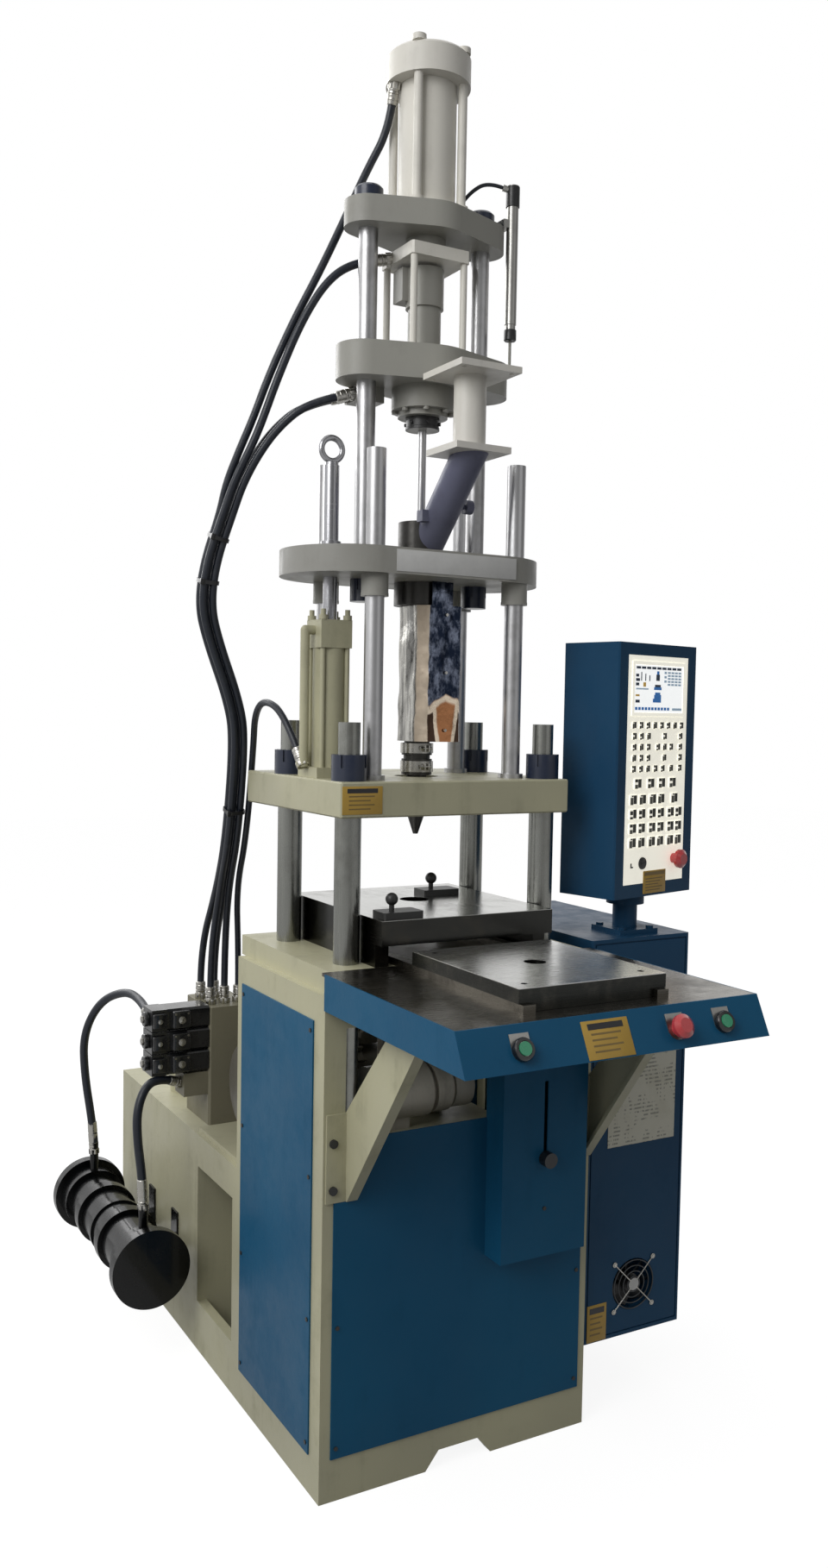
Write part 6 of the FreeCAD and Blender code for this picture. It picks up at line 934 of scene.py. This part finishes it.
@dataclass
class Pendant:
    """The operator pendant: display, marks on the keys, port cover and plate."""

    corner: Point = (642, -6, 1085)
    turn: float = 13.9
    body: str = "pendant"
    slot: str = "panel_film"
    small_key: Pair = (12.5, 14)
    small_rows: tuple = (
        (356.5, (51, 74.5, 98, 121.5, 145, 168, 191.5, 215)),
        (334, (53, 77, 101, 157, 213)),
        (311.5, (53, 77, 101, 134, 157, 180, 213)),
        (289, (53, 77, 101, 157, 213)),
        (266.5, (53, 77, 101, 127, 152, 182, 213)),
    )
    large_key: Pair = (21, 20)
    large_rows: tuple = (
        (236, (69, 113, 151, 189)),
        (203, (55, 86, 121, 150, 197)),
        (173.5, (55, 85, 121, 150, 185.5, 213)),
        (143.5, (55, 85, 121, 150, 185.5, 213)),
        (114, (55, 85, 121, 150, 185.5, 213)),
    )

    def place(self) -> Matrix:
        """Where a piece drawn from the lower front left corner goes."""
        return Matrix.Translation(self.corner) @ Matrix.Rotation(math.radians(self.turn), 4, "Z")

    def build(self) -> None:
        """Make the pieces of the pendant's face."""
        self.display()
        self.key_marks()
        self.switches()

    def tile(self, piece: Workpiece, x0: float, x1: float, z0: float, z1: float,
             front: float = -2.0) -> None:
        """Thin tile on the face, its front at a depth."""
        piece.block((x0, front, z0), (x1, front + 0.5, z1), 0.12, 1, self.place())

    def display(self) -> None:
        """Picture on the display: a plain diagram with bars, without words."""
        glass = Workpiece("display_glass")
        glass.block((49.2, -1.6, 383.2), (216.8, -0.9, 480.8), 0.2, 1, self.place())
        glass.done(SCREEN_WHITE, self.body, self.slot)
        dark = [(54 + k * 17.6, 68.5 + k * 17.6, 472.5, 477.5) for k in range(9)]
        dark += [(53, 53 + width, z0, z0 + 6) for z0, width in ((456, 10), (447, 13), (438, 11), (403, 14))]
        dark += [(x0 + 10, x0 + 13, 448, 466 - 3 * k) for k, x0 in enumerate((60, 74, 88))]
        dark += [(122, 134, 449, 462), (118, 138, 436, 441)]
        blue = [(124, 132, 462, 469, -2.1), (115, 141, 430, 436), (116, 140, 404, 420), (119, 137, 420, 425),
                (112, 118, 404, 412)]
        blue += [(52 + k * 11, 60 + k * 11, 388, 394) for k in range(11)]
        pale = [(162 + k * 12.5, 172 + k * 12.5, 440 + j * 6.2, 444 + j * 6.2)
                for k in range(4) for j in range(5)]
        pale += [(54, 96, 430, 433), (180, 214, 388, 393)]
        pale += [(150, 158, 446 + j * 9, 451 + j * 9) for j in range(3)]
        warm = [(78, 87, 436, 445), (53, 66, 416, 420)]
        for name, finish, tiles in (("dark", SCREEN_DARK, dark), ("blue", SCREEN_BLUE, blue),
                                    ("pale", SCREEN_PALE, pale), ("warm", SCREEN_WARM, warm)):
            piece = Workpiece("display_" + name)
            for spot in tiles:
                self.tile(piece, *spot)
            piece.done(finish, self.body, self.slot)

    def key_marks(self) -> None:
        """Plain symbols printed on the keys: dark and grey blocks."""
        grey, dark = Workpiece("key_marks_grey"), Workpiece("key_marks_dark")
        for rows, field, (by_row, by_column, first) in ((self.large_rows, self.large_key, (7, 3, 0)),
                                                        (self.small_rows, self.small_key, (5, 2, 1))):
            for row, (z, xs) in enumerate(rows):
                for column, x in enumerate(xs):
                    self.mark(dark, grey, x, z, field, row * by_row + column * by_column + first)
        dark.done(DARK_MARK, self.body, self.slot)
        grey.done(GREY_MARK, self.body, self.slot)

    def mark(self, dark: Workpiece, grey: Workpiece, x: float, z: float, field: Pair, kind: int) -> None:
        """One key's symbol: a dark block on the right and two of three kinds of blocks on the left.

        Args:
            dark: piece that takes the dark blocks.
            grey: piece that takes the grey blocks.
            x: middle of the key across the face.
            z: middle of the key up the face.
            field: width and height of the symbol's field.
            kind: which of the symbols it is.
        """
        half, rise = field[0] / 2, field[1] / 2
        blocks = [(dark, 0, 1, -0.8, 1)]
        blocks += (((dark, -1, -0.1, 0.35, 1), (grey, -1, -0.1, -1, -0.15)),
                   ((grey, -1, -0.1, -1, 0.5), (dark, -0.6, -0.1, 0.65, 1)),
                   ((dark, -1, -0.1, -0.1, 0.7), (dark, -1, -0.1, -1, -0.5)))[kind % 3]
        for piece, x0, x1, z0, z1 in blocks:
            self.tile(piece, x + half * x0, x + half * x1, z + rise * z0, z + rise * z1, -2.9)

    def switches(self) -> None:
        """Round port cover beside the stop, and the plain plate under the face."""
        place = self.place()
        port = Workpiece("pendant_port")
        port.turned((93, 0, 70), [(0, 4.6), (8, 4.4), (9.5, 3), (10.5, 3), (12.5, 2.2), (13, 0)],
                    axis=(0, -1, 0), place=place)
        port.block((86.5, -5.6, 68.5), (99.5, -4, 71.5), 0.4, 2, place)
        self.tile(port, 53, 57, 62, 72, -0.5)
        self.tile(port, 57, 62, 62, 65, -0.5)
        port.done(BLACK, self.body, "black_plastic")
        plate = Workpiece("pendant_caution")
        plate.block((97, -1, 5), (175, 0, 53), 0.3, 2, place)
        plate.done(YELLOW, self.body, self.slot)
        ink = Workpiece("pendant_caution_ink")
        ink.block((101, -1.3, 43), (171, -0.9, 50), 0.1, 1, place)
        for k in range(5):
            ink.block((105, -1.2, 35 - k * 6), (163 - 7 * (k % 3), -0.9, 37.2 - k * 6), 0.05, 1, place)
        ink.done(YELLOW_INK, self.body, self.slot)


@dataclass
class Plates:
    """Plain plates and sheets where the machine carries its labels."""

    slot: str = "panel_film"
    apron_at: Pair = (-468.2, 951.5)

    def build(self) -> None:
        """Make every plate."""
        slope = Matrix.Translation((0, *self.apron_at)) @ Matrix.Rotation(-APRON_LEAN, 4, "X")
        self.caution("platen_caution", (46, 35.1, 1271), (129, 35.9, 1323), "clamp")
        self.caution("apron_caution", (226, -0.9, -31), (318, -0.05, 31), "base", slope)
        self.caution("cabinet_caution", (622, 19.1, 152), (672, 19.9, 231), "base")
        paper = Workpiece("cabinet_sheet")
        paper.block((664, 19, 560), (842, 19.8, 752), 0.2, 1)
        paper.block((712, 18.4, 748), (850, 19.2, 800), 0.2, 1)
        paper.done(PAPER, "base", self.slot)
        badge = Workpiece("seat_badge")
        badge.block((168, 66, 1724.5), (436, 66.9, 1765.5), 0.4)
        badge.done(BADGE, "seat", self.slot)

    def caution(self, name: str, low: Point, high: Point, body: str, place: Matrix = HERE) -> None:
        """Plain yellow plate with a black head bar and a few bars of ink.

        Args:
            name: the plate's name.
            low: its least corner.
            high: its greatest corner.
            body: the body that it rides on.
            place: where the drawn plate goes.
        """
        x0, y0, z0 = low
        x1, y1, z1 = high
        wide, tall = x1 - x0, z1 - z0
        plate, head, ink = (Workpiece(name + end) for end in ("", "_head", "_ink"))
        plate.block(low, high, 0.3, 2, place)
        plate.done(YELLOW, body, self.slot)
        head.block((x0 + wide * 0.12, y0 - 0.3, z1 - tall * 0.24),
                   (x1 - wide * 0.12, y0 + 0.1, z1 - tall * 0.08), 0.1, 1, place)
        head.done(CAUTION_BLACK, body, "black_plastic")
        for k in range(4):
            z = z1 - tall * (0.38 + 0.15 * k)
            ink.block((x0 + wide * 0.16, y0 - 0.2, z),
                      (x1 - wide * (0.2 + 0.1 * (k % 2)), y0 + 0.1, z + tall * 0.05), 0.05, 1, place)
        ink.done(YELLOW_INK, body, self.slot)


@dataclass
class HeaterGuard:
    """Bent and crumpled sheet round the heater bands."""

    low: float = 1402.0
    high: float = 1673.0
    side: float = 100.0
    corner: Pair = (268.0, 149.0)
    fold: float = 24.0
    inset: float = 1.5
    rear_cut: float = 8.0
    front_cut: float = 6.0
    sheet: float = 1.4
    cuts: int = 18
    calm: float = 20.0
    sink: float = 1.4
    ripples: tuple = ((0.028, 2.6), (0.075, 1.3))

    def build(self) -> None:
        """Make the sheet with its upper strip, its screws and the nozzle's bands."""
        x0, y0 = self.corner
        x1, y1 = x0 + self.side, y0 + self.side
        fold, i, rear, front = self.fold, self.inset, self.rear_cut, self.front_cut
        part = wall([(x0 + fold, y0 + i), (x0 + i, y0 + fold), (x0 + i, y1 - rear), (x0 + rear, y1 - i),
                     (x1 - rear, y1 - i), (x1 - i, y1 - rear), (x1 - i, y0 + front), (x1 - front, y0 + i)],
                    self.low, self.high)
        bmesh.ops.subdivide_edges(part, edges=part.edges[:], cuts=self.cuts, use_grid_fill=True)
        bmesh.ops.recalc_face_normals(part, faces=part.faces)
        part.normal_update()
        for vert in part.verts:
            rise = min(1.0, (vert.co.z - self.low) / self.calm, (self.high - vert.co.z) / self.calm)
            ripple = sum(noise.noise(vert.co * scale) * depth for scale, depth in self.ripples)
            vert.co += vert.normal * (ripple - self.sink) * (0.4 + 0.6 * rise)
        bmesh.ops.solidify(part, geom=part.faces[:], thickness=self.sheet)
        piece = Workpiece("heater_sheet")
        piece.take(part)
        piece.block((x0 + 26, y0 + 0.4, 1668), (x1 - 26, y0 + 2, 1719.6), 0.3)
        piece.done(FOIL, "seat", "stainless", ["heater_guard"], 50)
        screws = Workpiece("heater_screws")
        for z in (1425, 1540, 1655):
            screws.drum((x0 + 60, y0 + 0.5, z), (x0 + 60, y0 - 2.4, z), 3.6, 3, 20)
        screws.done(NICKEL, "seat", "bare_aluminium")
        band = Workpiece("nozzle_band")
        for z, tall in ((1340, 22), (1378, 20)):
            band.turned((*CENTRE, z), [(31.3, 0), (33.5, 0), (33.5, tall), (31.3, tall)], 40, True)
        for z in (1351, 1388):
            for x in (294, 303):
                band.block((x, 168.5, z - 7), (x + 3.5, 180.5, z + 7), 0.4)
            band.drum((288, 173, z), (312, 173, z), 2.6, sides=16)
            band.drum((286, 173, z), (291, 173, z), 4.6, sides=6)
        band.done(NICKEL, "seat", "stainless")


@dataclass
class FanGuard:
    """Wire guard over the cabinet's fan, with the motor's plate behind it."""

    x: float = 742.0
    z: float = 256.0
    face: float = 20.0
    rings: tuple = (16, 28, 40, 52)
    reach: float = 74.0
    wire: float = 1.5
    axis: Point = (0, 1, 0)

    def build(self) -> None:
        """Make the wires and the hub plate."""
        wires, rings = Workpiece("fan_wires"), Workpiece("fan_rings")
        for radius in self.rings:
            rings.ring((self.x, self.face - 1.7, self.z), self.axis, radius, self.wire, 44)
        for k in range(4):
            angle = math.radians(90 * k + 45)
            out = Vector((math.sin(angle), 0, math.cos(angle)))
            end = Vector((self.x, self.face - 1.8, self.z)) + out * (self.reach - 4)
            wires.drum(Vector((self.x, self.face - 2.2, self.z)) + out * 10, end, self.wire, sides=10)
            eye = end + out * 2
            wires.ring(eye, self.axis, 4.4, 1.4, 18)
            wires.drum(eye, eye - Vector(self.axis) * 1.6, 3.4, 2.8, 16)
        rings.done(RING_WIRE, "base", "hard_chrome", ["fan_guard"])
        wires.done(NICKEL, "base", "hard_chrome", ["fan_guard"])
        hub = Workpiece("fan_hub_plate")
        hub.drum((self.x, 17.4, self.z), (self.x, 16.6, self.z), 13, sides=36)
        hub.done(BADGE, "base", "panel_film")


@dataclass
class Fasteners:
    """Screws, plugs and small fittings that the CAD pieces leave out."""

    button_at: Pair = (-468.242, 951.516)
    valve_low: float = 651.5
    valve_pitch: float = 51.0
    coupling_top: float = 2048.0
    coupling_wide: float = 32.0
    coupling_tall: float = 24.0

    def build(self) -> None:
        """Make the small pieces."""
        self.valves()
        self.transducer_ends()
        self.socket_heads()
        self.start_bezels()
        self.terminal_box()
        self.coupling()

    def terminal_box(self) -> None:
        """Terminal box on the pump's motor, with its lid and screws."""
        box = Workpiece("motor_terminal_box")
        box.block((270, 500, 702), (395, 600, 757), 4, 3)
        box.block((266, 496, 757), (399, 604, 764), 2.5)
        box.drum((332, 500, 728), (332, 484, 728), 12, sides=6, edge=1)
        box.studs([(x, y, 764) for x in (277, 388) for y in (507, 593)], (0, 0, 3), 4.5, 20)
        box.done(MOTOR_GREY, "base", "black_plastic")

    def start_bezels(self) -> None:
        """Black collars round the two start buttons."""
        out = Vector((0, -math.cos(APRON_LEAN), math.sin(APRON_LEAN)))
        section = [(11.6, 8.9), (17.05, 8.9), (17.05, 0), (18.4, 0), (18.4, 7.6), (16.6, 10.2), (12.4, 10.2),
                   (11.6, 9.6)]
        bezels = Workpiece("start_bezels")
        for x in (107, 512):
            bezels.turned(Vector((x, *self.button_at)) + out * 2.2, section, 40, True, out)
        bezels.done(COIL, "base", "black_plastic")

    def coupling(self) -> None:
        """Dark clamping ring of the screw coupling, and the nut on the lift rod."""
        ring = Workpiece("coupling_ring")
        wide, tall = self.coupling_wide, self.coupling_tall
        low = self.coupling_top - tall
        ring.turned((*CENTRE, low), [(wide + 0.1, 0), (wide + 2.2, 0.4), (wide + 2.2, 5), (wide + 1, 6),
                                     (wide + 1, tall - 5), (wide + 2.2, tall - 4), (wide + 2.2, tall - 0.4),
                                     (wide + 0.1, tall - 0.2)], 48, True)
        for k in range(6):
            angle = math.radians(60 * k + 20)
            out = Vector((math.cos(angle), math.sin(angle), 0))
            foot = Vector((*CENTRE, low + tall / 2)) + out * (wide + 0.5)
            ring.drum(foot, foot + out * 4.5, 3.6, sides=24, edge=0.6)
        ring.done(BLACK_OXIDE, "injection", "black_oxide")
        nut = Workpiece("lift_rod_nut")
        nut.turned((100, 212, 1770), [(15.4, 0.2), (21, 0.2), (21, 11), (19, 13), (15.4, 13)], 36, True)
        nut.done(BLACK_OXIDE, "seat", "black_oxide")

    def valves(self) -> None:
        """Coil nuts, connectors and manual pins on the valve stack."""
        coils, pins = Workpiece("valve_connectors"), Workpiece("valve_pins")
        for k in range(3):
            z = self.valve_low + self.valve_pitch * k
            coils.block((-91, 699, z - 17), (-60, 708, z + 17), 3.5, 3)
            coils.block((-46, 697, z - 20), (-4, 708, z + 20), 4, 3)
            coils.drum((-92, 739, z), (-103, 739, z), 17, sides=36, edge=2.5)
            pins.drum((-103, 739, z), (-107.5, 739, z), 9, sides=6, edge=0.8)
            pins.drum((-75.5, 699, z), (-75.5, 695.5, z), 5.5, sides=24, edge=0.6)
            pins.drum((-25, 697, z), (-25, 693, z), 8.5, sides=30, edge=0.8)
            pins.drum((-25, 693, z), (-25, 691, z), 5, sides=6, edge=0.4)
            pins.studs([(x, 697.4, z + 14) for x in (-40, -10)], (0, -1.6, 0), 2.6, 16)
        coils.done(COIL, "base", "black_plastic")
        pins.done(NICKEL, "base", "bare_aluminium")

    def transducer_ends(self) -> None:
        """Black end caps of the linear transducer and its cable gland."""
        ends = Workpiece("transducer_caps")
        ends.turned((484, 180, 2488), [(12.3, 0), (14, 0.5), (14, 40), (12, 42.5), (0, 42.5)], 36)
        ends.turned((484, 180, 2236.5), [(3.2, -15), (11.2, -15), (12.8, -13), (12.8, 6), (12.2, 7)], 36)
        ends.done(BLACK, "seat", "black_plastic")

    def socket_heads(self) -> None:
        """Socket head screws on the plates that carry load."""
        heads = Workpiece("plate_screws")
        heads.studs([(x, y, 2445) for x in (262, 338) for y in (174, 250)], (0, 0, 6), 6.5, 28, 0.8)
        heads.done(BLACK_OXIDE, "seat", "black_oxide")


@dataclass
class Studio:
    """Camera, pale floor, soft surroundings and lamps."""

    camera_at: Point = (-979.9, -2050.4, 1464.1)
    yaw: float = 29.4
    pitch: float = -3.3
    roll: float = 1.0
    lens: float = 29.31
    sensor: float = 36.0
    far: float = 60.0
    floor_size: float = 14.0
    floor_drop: float = 0.0006
    floor_glow: float = 0.9
    floor_mirror: float = 0.45
    lamps: tuple = (
        ("key", (-3.6, -1.5, 3.6), (0, 0, 1.1), 2.6, 95),
        ("back", (-1.2, 3.4, 3.4), (0, 0, 1.4), 2.8, 70),
        ("front", (1.8, -4.2, 2.6), (0.1, 0, 1), 3, 12),
    )

    def build(self) -> None:
        """Set up the view."""
        self.camera()
        self.floor()
        self.world()
        for lamp in self.lamps:
            self.lamp(*lamp)
        bpy.context.scene.view_settings.view_transform = "Standard"

    def camera(self) -> None:
        """Camera in the photograph's place."""
        yaw, pitch, roll = (math.radians(v) for v in (self.yaw, self.pitch, self.roll))
        ahead = Vector((math.sin(yaw) * math.cos(pitch), math.cos(yaw) * math.cos(pitch), math.sin(pitch)))
        right = Vector((math.cos(yaw), -math.sin(yaw), 0))
        up = right.cross(ahead)
        across = right * math.cos(roll) + up * math.sin(roll)
        above = up * math.cos(roll) - right * math.sin(roll)
        data = bpy.data.cameras.new("camera")
        data.sensor_fit = "VERTICAL"
        data.sensor_width = data.sensor_height = self.sensor
        data.lens = self.lens
        data.clip_end = self.far
        camera = placed("camera", data)
        turn = Matrix((across, above, -ahead)).transposed().to_4x4()
        camera.matrix_world = Matrix.Translation(metres(self.camera_at)) @ turn
        bpy.context.scene.camera = camera

    def rays(self, net: Net) -> tuple[Value, Value]:
        """Whether a ray is the camera's, and whether it was mirrored or went through glass.

        Args:
            net: the node tree that asks.

        Returns:
            The two values.
        """
        path = net.node("ShaderNodeLightPath", {})
        camera, glossy, clear = (Value(net, path.outputs[f"Is {kind} Ray"])
                                 for kind in ("Camera", "Glossy", "Transmission"))
        return camera, glossy + clear

    def floor(self) -> None:
        """Pale floor that shows white to the camera and keeps the soft shadow."""
        bm = bmesh.new()
        bmesh.ops.create_grid(bm, x_segments=1, y_segments=1, size=self.floor_size)
        mesh = bpy.data.meshes.new("floor")
        bm.to_mesh(mesh)
        bm.free()
        floor = placed("floor", mesh)
        floor.location = (0, 0, -self.floor_drop)
        shade = Shade("studio_floor")
        camera, other = self.rays(shade)
        seen = camera + other * self.floor_mirror
        glow = shade.node("ShaderNodeEmission", {0: (1, 1, 1, 1), 1: seen.capped() * self.floor_glow})
        shade.done(Base_Color=(0.2, 0.2, 0.2, 1), Roughness=0.8, Specular_IOR_Level=0.0)
        both = shade.node("ShaderNodeAddShader", {0: shade.surface.outputs[0], 1: glow.outputs[0]})
        shade.feed(shade.output.inputs[0], both.outputs[0])
        mesh.materials.append(shade.material)

    def world(self) -> None:
        """White view, with soft light that is bright behind and to the left and dim in front."""
        world = bpy.data.worlds.new("surroundings")
        world.use_nodes = True
        bpy.context.scene.world = world
        net = Net(world.node_tree)
        place = net.node("ShaderNodeTexCoord", {}).outputs["Generated"]
        x, y, z = (net.value("ShaderNodeSeparateXYZ", {0: place}, k) for k in range(3))
        side = (y * 0.62 - x * 0.62 + z * 0.45).fit(-0.75, 0.75)
        back = (y * 0.95 - x * 0.15 + z * 0.1).fit(-0.35, 0.6, 0.08, 1.0)
        camera, other = self.rays(net)
        seen = camera + other.capped() * back
        strength = (side * 0.5 + 0.13) * (1.0 - seen) + seen
        background = net.node("ShaderNodeBackground", {0: (1, 1, 1, 1), 1: strength})
        net.node("ShaderNodeOutputWorld", {0: background.outputs[0]})

    def lamp(self, name: str, at: Point, aim: Point, size: float, power: float) -> None:
        """Soft box.

        Args:
            name: its name.
            at: its place in metres.
            aim: the point that it faces.
            size: side of its square.
            power: its power in watts.
        """
        data = bpy.data.lights.new(name, "AREA")
        data.shape = "SQUARE"
        data.size = size
        data.energy = power
        lamp = placed(name, data)
        lamp.location = at
        lamp.rotation_euler = (Vector(aim) - Vector(at)).to_track_quat("-Z", "Y").to_euler()


FINISHES: dict[Finish, tuple[str, ...]] = {
    BEIGE: ("frame", "slab", "brackets", "tank", "platen", "seat_cylinder"),
    BEIGE_TOP: ("seat_plate", "mid_plate", "top_plate", "bearing_housing", "hydraulic_motor"),
    TOWER_PALE: ("injection_cylinder", "yoke", "hopper_mount"),
    BLUE: ("side_panels", "front_panel", "apron"),
    BLUE_DEEP: ("cabinet", "pendant_case", "pendant_post"),
    PURPLE: ("hopper_chute",),
    GLOSS_BLACK: ("cooler", "cooler_saddles"),
    MOTOR_GREY: ("drive_motor",),
    CAST_PALE: ("clamp_cylinder",),
    MANIFOLD: ("manifold",),
    PUMP_GREY: ("pump_unit",),
    CHROME: ("guide_columns", "upper_columns", "screw_shaft"),
    CHROME_DULL: ("tie_columns",),
    CHROME_DARK: ("seat_rod", "eye_bolt"),
    GROUND: ("die_block",),
    SLIDE: ("slide_plate",),
    DARK_STEEL: ("crosshead", "barrel"),
    DECK: ("deck",),
    ALLOY: ("transducer", "button_trims"),
    BLACK_OXIDE: ("screws", "mould_clamps"),
    BLUED: ("tie_nuts", "column_nuts"),
    BLACK: ("cover_knob", "fan"),
    COIL: ("valve_stack",),
    RED: ("table_stop", "pendant_stop"),
    GREEN: ("start_left", "start_right"),
    FILM: ("pendant_face",),
}


def dress(nodes: dict[str, bpy.types.Object]) -> None:
    """Give every CAD node that stays its finish.

    Args:
        nodes: the frame's objects by node name.
    """
    for finish, names in FINISHES.items():
        for name in names:
            mesh = nodes[name].data
            mesh.materials.clear()
            mesh.materials.append(finish.material())
    LOG.info("%d nodes dressed", sum(len(names) for names in FINISHES.values()))


def main() -> None:
    """Build the machine's visual model."""
    logging.basicConfig(level=logging.INFO, format="%(message)s")
    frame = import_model()
    Studio().build()
    HoseTower().build()
    dress(frame["nodes"])
    for part in (Pendant(), Plates(), HeaterGuard(), FanGuard(), Fasteners()):
        LOG.info("%s", type(part).__name__)
        part.build()


if __name__ == "__main__":
    main()
